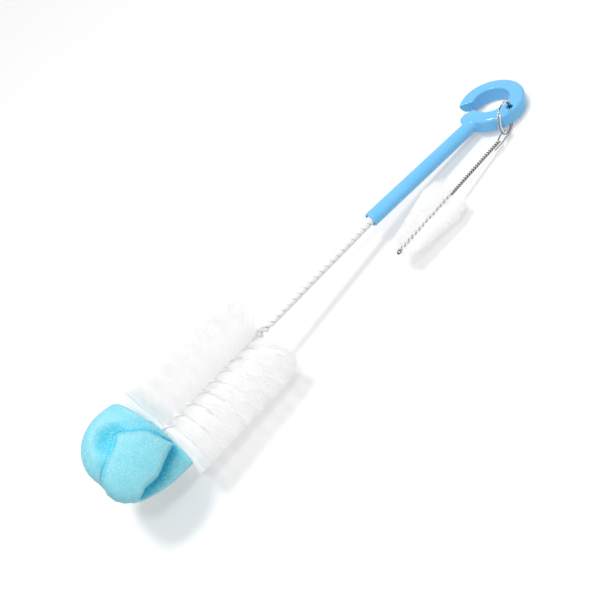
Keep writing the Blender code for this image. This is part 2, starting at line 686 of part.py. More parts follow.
def build_small_wire(parts, parent, look):
    """One steel wire: twisted up the shank, folded at the tip, twisted back, round the eye to its tail."""
    twist = small_twist()
    end = SMALL_HEAD_START + SMALL_HEAD_LENGTH + SMALL_WIRE_TIP
    inward = twist.strand(end, 0.0)
    outward = twist.strand(end, math.pi)
    offset = twist.offset(end)
    across = twist.across(end, 0.0)
    fold = []
    for i in range(1, FOLD_STEPS):
        turn = math.pi * i / FOLD_STEPS
        fold.append(Vector((end + offset * math.sin(turn), 0.0, 0.0)) + across * (offset * math.cos(turn)))
    eye = [Vector((EYE_LEG, -EYE_HALF_WIDTH, 0.0))]
    curl = arc((EYE_HALF_WIDTH - EYE_TIP, 0.0), EYE_HALF_WIDTH, 270, 90, EYE_STEPS)
    eye += [Vector((x, y, 0.0)) for x, y in curl]
    eye += [Vector((EYE_LEG, EYE_HALF_WIDTH, 0.0)), Vector((EYE_TWIST_START, EYE_TAIL_SIDE, 0.0)),
            Vector((EYE_TAIL_END, EYE_TAIL_SIDE, 0.0))]
    points = inward + fold + outward[::-1] + eye
    gap = least_self_gap(points, SMALL_WIRE_DIAMETER)
    print("least gap of the small wire to itself, mm:", gap * MILLIMETRES)
    return wire("small_wire", points, SMALL_WIRE_DIAMETER, parts, parent, look)


def build_small_bristles(parts, parent, look, layout):
    """The tapered head of the small brush."""
    twist = small_twist()
    wander = random.Random(SEED)

    def tip(share):
        place = share * SMALL_HEAD_LENGTH
        if place < SMALL_HEAD_WIDEST:
            part = place / SMALL_HEAD_WIDEST
            radius = SMALL_START_RADIUS + (SMALL_WIDEST_RADIUS - SMALL_START_RADIUS) * part
        else:
            part = (place - SMALL_HEAD_WIDEST) / (SMALL_HEAD_LENGTH - SMALL_HEAD_WIDEST)
            radius = SMALL_WIDEST_RADIUS + (SMALL_TIP_RADIUS - SMALL_WIDEST_RADIUS) * part
        lean = SMALL_LEAN_FORWARD * share - SMALL_LEAN_BACK * (1.0 - share)
        return radius, lean + wander.uniform(-SMALL_LEAN_WANDER, SMALL_LEAN_WANDER)

    half = twist.offset(SMALL_HEAD_START) + SMALL_WIRE_DIAMETER / 2 + SMALL_WEB_OVERHANG
    return bristles("small_bristles", twist, SMALL_HEAD_START, SMALL_HEAD_LENGTH,
                    (half, SMALL_WEB_THICKNESS), 2, SMALL_STRANDS_A_SIDE, tip, layout.small_height,
                    parts, parent, look)


def centre_on_table(frame, parts):
    """Moves the brush so that the middle of its footprint is the origin."""
    bpy.context.view_layer.update()
    graph = bpy.context.evaluated_depsgraph_get()
    corners = []
    for obj in parts.objects:
        if obj.type == "EMPTY":
            continue
        seen = obj.evaluated_get(graph)
        mesh = seen.to_mesh()
        corners += [seen.matrix_world @ vert.co for vert in mesh.vertices]
        seen.to_mesh_clear()
    places = np.array([tuple(corner) for corner in corners])
    middle = (places.min(axis=0) + places.max(axis=0)) / 2
    frame.location.x -= middle[0]
    frame.location.y -= middle[1]


def main():
    clear_scene()
    parts = collection("bottle_brush")
    cutters = collection("cutters")
    layout = Layout()
    blue = material("handle_blue", BLUE, 0.22, 0.0)
    coated = material("coated_white", WHITE, 0.4, 0.0)
    nylon = material("nylon_white", WHITE, 0.45, 0.0)
    small_nylon = material("small_nylon_white", WHITE, 0.45, 0.0)
    foam = material("foam_blue", FOAM_BLUE, 0.95, 0.0)
    bright = material("ring_steel", STEEL, 0.18, 1.0)
    drawn = material("wire_steel", STEEL, 0.3, 1.0)
    frame = empty("handle_frame", parts, None, layout.frame)
    ring_frame = empty("split_ring_axis", parts, frame, layout.ring_frame)
    in_ring = layout.ring_frame.inverted() @ layout.small_frame
    small_frame = empty("small_brush_axis", parts, ring_frame, in_ring)
    build_handle(parts, cutters, frame, blue)
    build_stem(parts, frame, coated)
    build_main_bristles(parts, frame, nylon, layout)
    build_foam(parts, cutters, frame, foam)
    build_split_ring(parts, layout, ring_frame, bright)
    build_small_wire(parts, small_frame, drawn)
    build_small_bristles(parts, small_frame, small_nylon, layout)
    centre_on_table(frame, parts)


main()
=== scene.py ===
"""Looks of a bottle brush that lies on a white table, with a small brush on a split ring in its hook."""
import json
import logging
import math
from collections.abc import Callable, Sequence
from dataclasses import dataclass, field
from enum import Enum
from itertools import product

import bpy
import numpy as np
from mathutils import Matrix, Vector


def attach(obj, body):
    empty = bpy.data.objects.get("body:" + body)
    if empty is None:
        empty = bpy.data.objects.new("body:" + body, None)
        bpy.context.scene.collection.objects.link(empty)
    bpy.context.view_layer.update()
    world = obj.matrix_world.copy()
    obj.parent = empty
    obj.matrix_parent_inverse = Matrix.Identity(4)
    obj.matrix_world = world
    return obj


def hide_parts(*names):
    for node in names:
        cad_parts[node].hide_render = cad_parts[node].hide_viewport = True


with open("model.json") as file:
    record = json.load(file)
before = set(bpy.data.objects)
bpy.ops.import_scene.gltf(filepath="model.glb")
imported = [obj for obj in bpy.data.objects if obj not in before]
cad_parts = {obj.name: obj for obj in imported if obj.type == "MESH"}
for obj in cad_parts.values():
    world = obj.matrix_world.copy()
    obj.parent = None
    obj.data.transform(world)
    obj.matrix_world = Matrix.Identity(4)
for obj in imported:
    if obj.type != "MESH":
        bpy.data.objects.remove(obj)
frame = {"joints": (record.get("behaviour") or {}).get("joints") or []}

log = logging.getLogger("brush")
MM = 0.001
TURN_DEG = 360.0
TINY = 1e-9
STRAND_POINTS = 3
STRAND_SIDES = 3
# A skin: its room round a shape, the steps for its slope, its rounds of drawing, and the least slope in one.
EDGE_CELLS = 3
STEPS_A_CELL = 50
DRAWING_ROUNDS = 4
LEAST_STEEPNESS = 0.05
WHITE = (1.0, 1.0, 1.0, 1.0)
Colour = tuple[float, float, float, float]
Distance = Callable[[np.ndarray], np.ndarray]


class Body(Enum):
    """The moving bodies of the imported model."""

    BRUSH = "brush"
    RING = "ring"
    SMALL_BRUSH = "small_brush"


class Kind(Enum):
    """What is stored at each point of a mesh."""

    NUMBER = "FLOAT"
    DIRECTION = "FLOAT_VECTOR"


class Draw(Enum):
    """What a strand's random number is for, with what is added to its head's seed."""

    LEAN = 2
    ROLL = 3
    TRIM = 4
    SHADE = 5


# Nodes


class Web:
    """A node tree that is written as calls: each call adds one node and links what it is given."""

    def __init__(self, tree: bpy.types.NodeTree) -> None:
        """Takes the tree that gets the nodes."""
        self.tree = tree

    def put(self, socket: bpy.types.NodeSocket, value: object) -> None:
        """Links a socket to this one, or sets its constant.

        Args:
            socket: The input that is fed.
            value: A socket, or a number, colour, vector or data block.
        """
        if isinstance(value, bpy.types.NodeSocket):
            self.tree.links.new(value, socket)
        else:
            socket.default_value = value

    def node(self, kind: str, inputs: dict[int | str, object] | None = None,
             **settings: object) -> bpy.types.Node:
        """Adds a node.

        Args:
            kind: The node's type name.
            inputs: What goes into each input, by name or number.
            settings: The node's own properties.

        Returns:
            The node.
        """
        made = self.tree.nodes.new(kind)
        for name, value in settings.items():
            setattr(made, name, value)
        for key, value in (inputs or {}).items():
            self.put(made.inputs[key], value)
        return made

    def math(self, operation: str, *values: object) -> bpy.types.NodeSocket:
        """The result of one arithmetic step on numbers or sockets."""
        return self.node("ShaderNodeMath", dict(enumerate(values)), operation=operation).outputs[0]

    def vector(self, operation: str, *values: object) -> bpy.types.NodeSocket:
        """The result of one arithmetic step on vectors."""
        return self.node("ShaderNodeVectorMath", dict(enumerate(values)), operation=operation).outputs[0]


class GeometryTree(Web):
    """A Geometry Nodes tree with named inputs, which ends in Realize Instances and Set Material."""

    def __init__(self, name: str) -> None:
        """Starts the tree with a geometry input and output.

        Args:
            name: The tree's name.
        """
        super().__init__(bpy.data.node_groups.new(name, "GeometryNodeTree"))
        for way in ("INPUT", "OUTPUT"):
            self.tree.interface.new_socket("Geometry", in_out=way, socket_type="NodeSocketGeometry")
        self.sockets: dict[str, str] = {}
        self.start = self.node("NodeGroupInput")

    def ask(self, name: str, kind: str) -> bpy.types.NodeSocket:
        """Adds a named input.

        Args:
            name: The input's name.
            kind: Float, Int or Material.

        Returns:
            The socket that carries it in the tree.
        """
        made = self.tree.interface.new_socket(name, in_out="INPUT", socket_type=f"NodeSocket{kind}")
        self.sockets[name] = made.identifier
        return self.start.outputs[name]

    def end(self, geometry: bpy.types.NodeSocket) -> None:
        """Closes the tree with its last three nodes.

        Args:
            geometry: What has been made.
        """
        material = self.ask("Material", "Material")
        smooth = self.node("GeometryNodeSetShadeSmooth", {"Geometry": geometry})
        real = self.node("GeometryNodeRealizeInstances", {"Geometry": smooth.outputs[0]})
        dressed = self.node("GeometryNodeSetMaterial", {"Geometry": real.outputs[0], "Material": material})
        self.node("NodeGroupOutput", {0: dressed.outputs[0]})

    def grow(self, name: str, guide: bpy.types.Mesh, values: dict[str, object]) -> bpy.types.Mesh:
        """Runs the tree on a guide mesh.

        Args:
            name: The name of the mesh that comes out.
            guide: The points or the line that the tree starts from.
            values: A value for each named input.

        Returns:
            A plain mesh.
        """
        carrier = bpy.data.objects.new(f"{name}_guide", guide)
        bpy.context.scene.collection.objects.link(carrier)
        modifier = carrier.modifiers.new("Grow", "NODES")
        modifier.node_group = self.tree
        for key, value in values.items():
            modifier[self.sockets[key]] = value
        graph = bpy.context.evaluated_depsgraph_get()
        made = bpy.data.meshes.new_from_object(carrier.evaluated_get(graph), depsgraph=graph)
        made.name = name
        bpy.data.objects.remove(carrier, do_unlink=True)
        return made


def wire_tree() -> GeometryTree:
    """The tree that lays a round wire along a line.

    Returns:
        The tree, which starts from a mesh of one line.
    """
    tree = GeometryTree("round_wire")
    diameter = tree.ask("Diameter", "Float")
    sides = tree.ask("Sides", "Int")
    line = tree.node("GeometryNodeMeshToCurve", {"Mesh": tree.start.outputs["Geometry"]})
    radius = tree.math("DIVIDE", diameter, 2.0)
    ring = tree.node("GeometryNodeCurvePrimitiveCircle", {"Resolution": sides, "Radius": radius})
    tube = tree.node("GeometryNodeCurveToMesh",
                     {"Curve": line.outputs[0], "Profile Curve": ring.outputs[0], "Fill Caps": True})
    tree.end(tube.outputs[0])
    return tree


def bristle_tree() -> GeometryTree:
    """The tree that sets a fine bent strand on each point of a guide.

    The guide's points carry out, the strand's direction, along, the line's direction, reach, and loose,
    which is how far a strand may stray along the line.

    Returns:
        The tree.
    """
    tree = GeometryTree("bristles")
    nominal, diameter, bend, roll, lean, trim = [
        tree.ask(name, "Float")
        for name in ("Nominal Reach", "Diameter", "Bend", "Roll Spread", "Lean Spread", "Trim Spread")]
    seed = tree.ask("Seed", "Int")

    def named(name: str, kind: Kind) -> bpy.types.NodeSocket:
        """What the guide carries under a name."""
        return tree.node("GeometryNodeInputNamedAttribute", {"Name": name}, data_type=kind.value).outputs[0]

    def spread(width: bpy.types.NodeSocket, draw: Draw) -> bpy.types.NodeSocket:
        """A random number for each strand, as far below nothing as above it.

        Args:
            width: The most that it may be.
            draw: What it is for.

        Returns:
            The number's socket.
        """
        # A plain number's least and most are sockets 2 and 3, and it comes out of socket 1.
        inputs = {2: tree.math("MULTIPLY", width, -1.0), 3: width,
                  "Seed": tree.math("ADD", seed, float(draw.value))}
        return tree.node("FunctionNodeRandomValue", inputs, data_type="FLOAT").outputs[1]

    end = tree.node("ShaderNodeCombineXYZ", {"X": nominal})
    line = tree.node("GeometryNodeCurvePrimitiveLine", {"End": end.outputs[0]})
    points = tree.node("GeometryNodeResampleCurve", {"Curve": line.outputs[0], "Count": STRAND_POINTS})
    along_strand = tree.node("GeometryNodeSplineParameter").outputs["Factor"]
    bow = tree.math("MULTIPLY", tree.math("POWER", along_strand, 2.0), bend)
    offset = tree.node("ShaderNodeCombineXYZ", {"Y": bow})
    bowed = tree.node("GeometryNodeSetPosition", {"Geometry": points.outputs[0], "Offset": offset.outputs[0]})
    ring = tree.node("GeometryNodeCurvePrimitiveCircle",
                     {"Resolution": STRAND_SIDES, "Radius": tree.math("DIVIDE", diameter, 2.0)})
    strand = tree.node("GeometryNodeCurveToMesh",
                       {"Curve": bowed.outputs[0], "Profile Curve": ring.outputs[0], "Fill Caps": True})

    axis = named("along", Kind.DIRECTION)
    stray = tree.math("MULTIPLY", spread(lean, Draw.LEAN), named("loose", Kind.NUMBER))
    stray = tree.node("ShaderNodeVectorMath", {0: axis, "Scale": stray}, operation="SCALE").outputs[0]
    leaned = tree.vector("ADD", named("out", Kind.DIRECTION), stray)
    rolled = tree.node("FunctionNodeAxisAngleToRotation",
                       {"Axis": (1.0, 0.0, 0.0), "Angle": spread(roll, Draw.ROLL)})
    aimed = tree.node("FunctionNodeAlignRotationToVector",
                      {"Rotation": rolled.outputs[0], "Vector": leaned}, axis="X")
    size = tree.math("DIVIDE", named("reach", Kind.NUMBER), nominal)
    size = tree.math("MULTIPLY", size, tree.math("ADD", spread(trim, Draw.TRIM), 1.0))
    set_on = tree.node("GeometryNodeInstanceOnPoints",
                       {"Points": tree.start.outputs["Geometry"], "Instance": strand.outputs[0],
                        "Rotation": aimed.outputs[0], "Scale": size})
    shade = tree.node("FunctionNodeRandomValue",
                      {"Seed": tree.math("ADD", seed, float(Draw.SHADE.value))}, data_type="FLOAT")
    marked = tree.node("GeometryNodeStoreNamedAttribute",
                       {"Geometry": set_on.outputs[0], "Name": "shade", "Value": shade.outputs[1]},
                       data_type="FLOAT", domain="INSTANCE")
    tree.end(marked.outputs[0])
    return tree


# Finishes


class Surface(Web):
    """A material that is built round one Principled shader."""

    def __init__(self, name: str) -> None:
        """Starts the material.

        Args:
            name: The material's name.
        """
        self.material = bpy.data.materials.new(name)
        self.material.use_nodes = True
        super().__init__(self.material.node_tree)
        self.shader = self.tree.nodes["Principled BSDF"]
        self.place = self.node("ShaderNodeTexCoord").outputs["Object"]

    def noise(self, grain: float, detail: float = 3.0) -> bpy.types.NodeSocket:
        """A noise whose features are this many metres across."""
        inputs = {"Vector": self.place, "Scale": 1.0 / grain, "Detail": detail}
        return self.node("ShaderNodeTexNoise", inputs).outputs[0]

    def attribute(self, name: str) -> bpy.types.NodeSocket:
        """The number that a mesh holds under this name."""
        return self.node("ShaderNodeAttribute", attribute_name=name).outputs["Fac"]

    def mix(self, factor: object, first: object, second: object) -> bpy.types.NodeSocket:
        """A colour between two.

        Args:
            factor: How far it lies from the first towards the second.
            first: The colour at 0.
            second: The colour at 1.

        Returns:
            The colour's socket.
        """
        # A Mix node has sockets for each type. A colour's are 6 and 7, and it comes out of 2.
        return self.node("ShaderNodeMix", {0: factor, 6: first, 7: second}, data_type="RGBA").outputs[2]

    def between(self, factor: object, low: float, high: float) -> bpy.types.NodeSocket:
        """A number between two."""
        return self.node("ShaderNodeMapRange", {"Value": factor, "To Min": low, "To Max": high}).outputs[0]

    def bump(self, height: object, depth: float, strength: float) -> None:
        """Raises the surface by a height from 0 to 1, over this depth in metres."""
        made = self.node("ShaderNodeBump", {"Height": height, "Distance": depth, "Strength": strength})
        self.put(self.shader.inputs["Normal"], made.outputs[0])

    def set(self, **values: object) -> None:
        """Sets shader inputs, whose names are written with _ for a space."""
        for name, value in values.items():
            self.put(self.shader.inputs[name.replace("_", " ")], value)


@dataclass(frozen=True)
class Finish:
    """A finish, which dresses the surface of a material that has its name."""

    name: str

    def dress(self, made: Surface) -> None:
        """Sets the surface's shader, in each finish in its own way."""
        raise NotImplementedError

    def build(self) -> bpy.types.Material:
        """Makes the material.

        Returns:
            The material.
        """
        made = Surface(self.name)
        self.dress(made)
        return made.material


def seen_as_backdrop(web: Web) -> bpy.types.NodeSocket:
    """Whether a ray is one that shows the backdrop: the camera's, or one through gloss or clear matter.

    Args:
        web: The tree that asks.

    Returns:
        A socket that is 1 for such a ray, and else 0.
    """
    path = web.node("ShaderNodeLightPath")
    mirrored = web.math("MAXIMUM", path.outputs["Is Glossy Ray"], path.outputs["Is Transmission Ray"])
    return web.math("MAXIMUM", path.outputs["Is Camera Ray"], mirrored)


@dataclass(frozen=True)
class MouldedPlastic(Finish):
    """Glossy light blue plastic with the faint ripple and haze of a moulding."""

    name: str = "blue_moulding"
    light: Colour = (0.190, 0.590, 0.970, 1.0)
    deep: Colour = (0.140, 0.530, 0.930, 1.0)
    flow_grain: float = 14 * MM
    ripple_grain: float = 2.5 * MM
    ripple_detail: float = 2.0
    ripple_depth: float = 0.03 * MM
    ripple_strength: float = 0.25
    haze: tuple[float, float] = (0.08, 0.15)
    ior: float = 1.5

    def dress(self, made: Surface) -> None:
        """Sets the colour by the flow, and the gloss and height by the ripple.

        Args:
            made: The material's surface.
        """
        ripple = made.noise(self.ripple_grain, self.ripple_detail)
        made.set(Base_Color=made.mix(made.noise(self.flow_grain), self.light, self.deep),
                 Roughness=made.between(ripple, *self.haze), IOR=self.ior)
        made.bump(ripple, self.ripple_depth, self.ripple_strength)


@dataclass(frozen=True)
class WireCoating(Finish):
    """White plastic on the stem's wires, slightly uneven along them."""

    name: str = "white_coating"
    light: Colour = (0.97, 0.97, 0.97, 1.0)
    shaded: Colour = (0.90, 0.905, 0.91, 1.0)
    grain: float = 1.2 * MM
    grain_depth: float = 0.05 * MM
    grain_strength: float = 0.4
    haze: tuple[float, float] = (0.35, 0.5)

    def dress(self, made: Surface) -> None:
        """Sets the colour, the gloss and the height by one uneven grain.

        Args:
            made: The material's surface.
        """
        uneven = made.noise(self.grain)
        made.set(Base_Color=made.mix(uneven, self.light, self.shaded),
                 Roughness=made.between(uneven, *self.haze))
        made.bump(uneven, self.grain_depth, self.grain_strength)


@dataclass(frozen=True)
class NylonBristle(Finish):
    """White nylon, whose strands differ a little, with a painted glow for the light that the strands pass on
    to each other.

    Attributes:
        strand_share: How much of the shade comes from the strand, and not from its place.
        painted_glow: How bright the painted glow is.
    """

    name: str = "white_nylon"
    clear: Colour = (0.99, 0.99, 0.99, 1.0)
    cloudy: Colour = (0.95, 0.955, 0.95, 1.0)
    grain: float = 3 * MM
    strand_share: float = 0.6
    haze: tuple[float, float] = (0.35, 0.55)
    painted_glow: float = 0.199

    def dress(self, made: Surface) -> None:
        """Sets the colour and the gloss by the strand and the grain, and the painted glow.

        Args:
            made: The material's surface.
        """
        strand = made.math("MULTIPLY", made.attribute("shade"), self.strand_share)
        drift = made.math("MULTIPLY_ADD", made.noise(self.grain), 1.0 - self.strand_share, strand)
        # The emission is a painted glow, standing in for the light that strands pass on to each other.
        made.set(Base_Color=made.mix(drift, self.clear, self.cloudy),
                 Roughness=made.between(drift, *self.haze),
                 Emission_Color=self.clear, Emission_Strength=self.painted_glow)


@dataclass(frozen=True)
class OpenFoam(Finish):
    """Light blue open-cell foam: painted shade in pores, painted glint specks, a deeper blue painted shade in
    folds and paler painted light on thin cut edges.

    Attributes:
        cell: How wide its cells are.
        cell_share: What the distance from a cell's middle gives to the depth, beside the grain.
        drift: How wide its lighter and deeper patches are.
        tone_start: The tone of a place with no depth and no drift.
        glint_speck_least: The number, drawn for each cell, over which it has a painted glint speck.
        glint_speck_span: Where a painted glint speck begins to fade and where it ends, in cells from its
            middle.
    """

    name: str = "blue_foam"
    wall: Colour = (0.36, 0.81, 0.91, 1.0)
    # Painted shade: the darker colour of the pores, the hollows between the cell walls.
    pore_shade: Colour = (0.15, 0.65, 0.81, 1.0)
    # Painted shade: the colour that the foam is painted in its folds.
    fold: Colour = (0.04, 0.60, 0.82, 1.0)
    # Painted highlight: the colour of the bright glint specks on the cells.
    glint_speck: Colour = (0.86, 0.98, 1.0, 1.0)
    # Painted light: the paler colour that thin cut edges are painted, as a highlight.
    thin_edge_light: Colour = (0.55, 0.87, 0.92, 1.0)
    cell: float = 0.62 * MM
    cell_share: float = 0.6
    grain_share: float = 0.6
    grain_detail: float = 2.0
    drift: float = 8 * MM
    drift_share: float = 0.7
    depth_share: float = 0.9
    tone_start: float = -0.3
    thin_edge_light_share: float = 0.8
    fold_shade_share: float = 0.85
    glint_speck_least: float = 0.42
    glint_speck_span: tuple[float, float] = (0.15, 0.38)
    glint_speck_share: float = 0.9
    haze: tuple[float, float] = (0.9, 1.0)
    gloss: float = 0.2
    cell_depth: float = 0.4 * MM
    cell_strength: float = 0.5

    def dress(self, made: Surface) -> None:
        """Sets the colour by cells with painted shade in their pores, patches, painted light on thin edges,
        painted shade in folds and painted glint specks, and the height by the cells.

        Args:
            made: The material's surface.
        """
        cells = made.node("ShaderNodeTexVoronoi", {"Vector": made.place, "Scale": 1.0 / self.cell})
        grain = made.noise(self.cell / 2, self.grain_detail)
        depth = made.math("MULTIPLY_ADD", cells.outputs["Distance"], self.cell_share,
                          made.math("MULTIPLY", grain, self.grain_share))
        tone = made.math("MULTIPLY_ADD", made.noise(self.drift), self.drift_share,
                         made.math("MULTIPLY_ADD", depth, self.depth_share, self.tone_start))
        # Painted shade in the pores, with tone that differs at random in patches, sets the body colour.
        body = made.mix(tone, self.pore_shade, self.wall)
        # Painted light on thin edges, then painted shade in folds, laid over the body colour.
        layers = ("thin_edge_light", self.thin_edge_light_share, self.thin_edge_light), ("fold", self.fold_shade_share, self.fold)
        for name, share, colour in layers:
            body = made.mix(made.math("MULTIPLY", made.attribute(name), share), body, colour)
        # Painted glint specks on some cells, brightest at the cells' middles.
        drawn = made.node("ShaderNodeSeparateColor", {0: cells.outputs["Color"]}).outputs[0]
        chosen = made.math("GREATER_THAN", drawn, self.glint_speck_least)
        fade_from, fade_to = self.glint_speck_span
        near = made.node("ShaderNodeMapRange", {"Value": cells.outputs["Distance"], "From Min": fade_from,
                                                "From Max": fade_to, "To Min": self.glint_speck_share,
                                                "To Max": 0.0}).outputs[0]
        made.set(Base_Color=made.mix(made.math("MULTIPLY", chosen, near), body, self.glint_speck),
                 Roughness=made.between(grain, *self.haze), Specular_IOR_Level=self.gloss)
        made.bump(depth, self.cell_depth, self.cell_strength)


@dataclass(frozen=True)
class Steel(Finish):
    """Steel wire with the fine scratches of drawing, bright or dull, and painted shade in its crevices."""

    light: Colour
    dark: Colour
    # Painted shade: the colour that crevices are painted.
    crevice_shade: Colour
    haze: tuple[float, float]
    scratch_grain: float = 0.5 * MM
    scratch_depth: float = 0.02 * MM
    scratch_strength: float = 0.3

    def dress(self, made: Surface) -> None:
        """Sets the colour by the scratches and the painted shade in crevices, and the gloss and height by the
        scratches.

        Args:
            made: The material's surface.
        """
        scratches = made.noise(self.scratch_grain)
        steel = made.mix(scratches, self.light, self.dark)
        # Painted shade in crevices, where the mesh marks them.
        made.set(Base_Color=made.mix(made.attribute("crevice_shade"), steel, self.crevice_shade),
                 Roughness=made.between(scratches, *self.haze), Metallic=1.0)
        made.bump(scratches, self.scratch_depth, self.scratch_strength)


PLATED_STEEL = Steel(name="plated_steel", light=(0.80, 0.80, 0.79, 1.0), dark=(0.58, 0.58, 0.58, 1.0),
                     crevice_shade=(0.03, 0.03, 0.035, 1.0), haze=(0.10, 0.22))
DRAWN_STEEL = Steel(name="drawn_steel", light=(0.60, 0.55, 0.51, 1.0), dark=(0.26, 0.22, 0.19, 1.0),
                    crevice_shade=(0.035, 0.025, 0.02, 1.0), haze=(0.22, 0.40))


@dataclass
class Finishes:
    """Every material of the brush."""

    moulding: bpy.types.Material = field(default_factory=MouldedPlastic().build)
    coating: bpy.types.Material = field(default_factory=WireCoating().build)
    nylon: bpy.types.Material = field(default_factory=NylonBristle().build)
    foam: bpy.types.Material = field(default_factory=OpenFoam().build)
    plated: bpy.types.Material = field(default_factory=PLATED_STEEL.build)
    drawn: bpy.types.Material = field(default_factory=DRAWN_STEEL.build)


# Meshes


def plain_mesh(name: str, points: np.ndarray, faces: Sequence[Sequence[int]],
               edges: Sequence[Sequence[int]] = ()) -> bpy.types.Mesh:
    """A mesh from its points and faces.

    Args:
        name: The mesh's name.
        points: One row for each vertex.
        faces: The corners of each face.
        edges: The ends of each loose edge.

    Returns:
        The mesh.
    """
    mesh = bpy.data.meshes.new(name)
    mesh.from_pydata(*([tuple(row) for row in rows] for rows in (points, edges, faces)))
    return mesh


def finished(mesh: bpy.types.Mesh, body: Body, node: str) -> bpy.types.Object:
    """Puts a finished mesh in the scene, riding on its body in place of its CAD node.

    Args:
        mesh: The mesh, in the row frame.
        body: What it moves with.
        node: The CAD node that it stands for.

    Returns:
        The piece.
    """
    piece = bpy.data.objects.new(f"{mesh.name}_piece", mesh)
    bpy.context.scene.collection.objects.link(piece)
    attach(piece, body.value)
    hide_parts(node)
    log.info("%s: %d faces", piece.name, len(mesh.polygons))
    return piece


def soft_max(first: np.ndarray, second: np.ndarray, width: float) -> np.ndarray:
    """The larger of two distances, rounded over where they cross."""
    near = np.maximum(width - np.abs(first - second), 0.0) / width
    return np.maximum(first, second) + near * near * width / 4


def soft_min(first: np.ndarray, second: np.ndarray, width: float) -> np.ndarray:
    """The smaller of two distances, filleted over where they cross."""
    return -soft_max(-first, -second, width)


def cell_vertices(value: np.ndarray, grid: np.ndarray) -> tuple[np.ndarray, np.ndarray]:
    """A vertex in each cell that the surface crosses, amid the places where it crosses the cell's edges.

    Args:
        value: The distance at each point of a grid.
        grid: The points.

    Returns:
        The vertices, and for each cell the number of its vertex.
    """
    shape = tuple(size - 1 for size in value.shape)
    total = np.zeros((*shape, 3))
    count = np.zeros(shape)

    def corner(data: np.ndarray, offset: Sequence[int]) -> np.ndarray:
        """What the data says at one corner of every cell."""
        return data[tuple(slice(first, first + size) for first, size in zip(offset, shape))]

    offsets = list(product((0, 1), repeat=3))
    for first, second in product(offsets, offsets):
        if sum(second) - sum(first) != 1 or any(end < start for start, end in zip(first, second)):
            continue
        start, end = corner(value, first), corner(value, second)
        crosses = (start < 0) != (end < 0)
        share = np.where(crosses, start / np.where(crosses, start - end, 1.0), 0.0)[..., None]
        place = corner(grid, first) * (1 - share) + corner(grid, second) * share
        total += np.where(crosses[..., None], place, 0.0)
        count += crosses
    mixed = count > 0
    index = np.full(shape, -1)
    index[mixed] = np.arange(mixed.sum())
    return total[mixed] / count[mixed][:, None], index


def crossed_quads(value: np.ndarray, index: np.ndarray) -> np.ndarray:
    """A quad round each edge of the grid that the surface crosses.

    Args:
        value: The distance at each point of a grid.
        index: For each cell, the number of its vertex.

    Returns:
        The corners of each quad, which faces outwards.
    """
    quads = []
    for axis in range(3):
        one, two = (axis + 1) % 3, (axis + 2) % 3
        inner = [slice(1, size - 1) for size in value.shape]
        inner[axis] = slice(0, value.shape[axis] - 1)
        beyond = list(inner)
        beyond[axis] = slice(1, value.shape[axis])
        start, end = value[tuple(inner)] < 0, value[tuple(beyond)] < 0
        for leaving in (True, False):
            at = np.argwhere((start == leaving) & (end != leaving))
            at[:, one] += 1
            at[:, two] += 1
            ring = []
            for back_one, back_two in ((1, 1), (0, 1), (0, 0), (1, 0)):
                cells = at.copy()
                cells[:, one] -= back_one
                cells[:, two] -= back_two
                ring.append(index[tuple(cells.T)])
            quad = np.stack(ring, axis=1)
            quads.append(quad if leaving else quad[:, ::-1])
    return np.concatenate(quads)


def slopes(distance: Distance, points: np.ndarray, cell: float) -> np.ndarray:
    """Which way, and how steeply, a distance grows at each point.

    Args:
        distance: Gives the distance of each row of points.
        points: The points.
        cell: The width of a quad, of which a small share is the step that is measured over.

    Returns:
        One row for each point.
    """
    step = cell / STEPS_A_CELL
    grown = [distance(points + step * unit) - distance(points - step * unit) for unit in np.eye(3)]
    return np.stack(grown, axis=1) / (2 * step)


def drawn_on(distance: Distance, points: np.ndarray, cell: float) -> np.ndarray:
    """The points, drawn onto the surface where a distance is zero.

    Args:
        distance: Gives the distance of each row of points.
        points: The points.
        cell: The width of a quad, of which a point moves half at most in one round.

    Returns:
        The moved points.
    """
    for _ in range(DRAWING_ROUNDS):
        here = distance(points)
        slope = slopes(distance, points, cell)
        steepness = np.maximum((slope * slope).sum(axis=1), LEAST_STEEPNESS)
        move = slope * (here / steepness)[:, None]
        far = np.linalg.norm(move, axis=1, keepdims=True)
        points = points - move * np.minimum(1.0, cell / 2 / np.maximum(far, TINY))
    return points


def skin(distance: Distance, low: Sequence[float], high: Sequence[float],
         cell: float) -> tuple[np.ndarray, np.ndarray]:
    """Quads over the surface where a distance is zero, with each vertex drawn onto it.

    Args:
        distance: Gives the distance of each row of points, negative inside.
        low: The lowest corner of the space that is searched.
        high: The highest corner of it.
        cell: The width of a quad.

    Returns:
        The vertices and the quads, which face outwards.
    """
    axes = [np.arange(least, most + cell, cell) for least, most in zip(low, high)]
    grid = np.stack(np.meshgrid(*axes, indexing="ij"), axis=-1)
    value = distance(grid.reshape(-1, 3)).reshape(grid.shape[:3])
    points, index = cell_vertices(value, grid)
    return drawn_on(distance, points, cell), crossed_quads(value, index)


def skinned(name: str, points: np.ndarray, quads: np.ndarray, place: Matrix,
            material: bpy.types.Material) -> bpy.types.Mesh:
    """A smooth mesh of a skin, in the row frame.

    Args:
        name: The mesh's name.
        points: The skin's vertices in their own frame.
        quads: Its faces.
        place: Its frame in the row frame.
        material: Its finish.

    Returns:
        The mesh.
    """
    mesh = plain_mesh(name, points, quads)
    mesh.transform(place)
    mesh.polygons.foreach_set("use_smooth", [True] * len(mesh.polygons))
    mesh.materials.append(material)
    return mesh


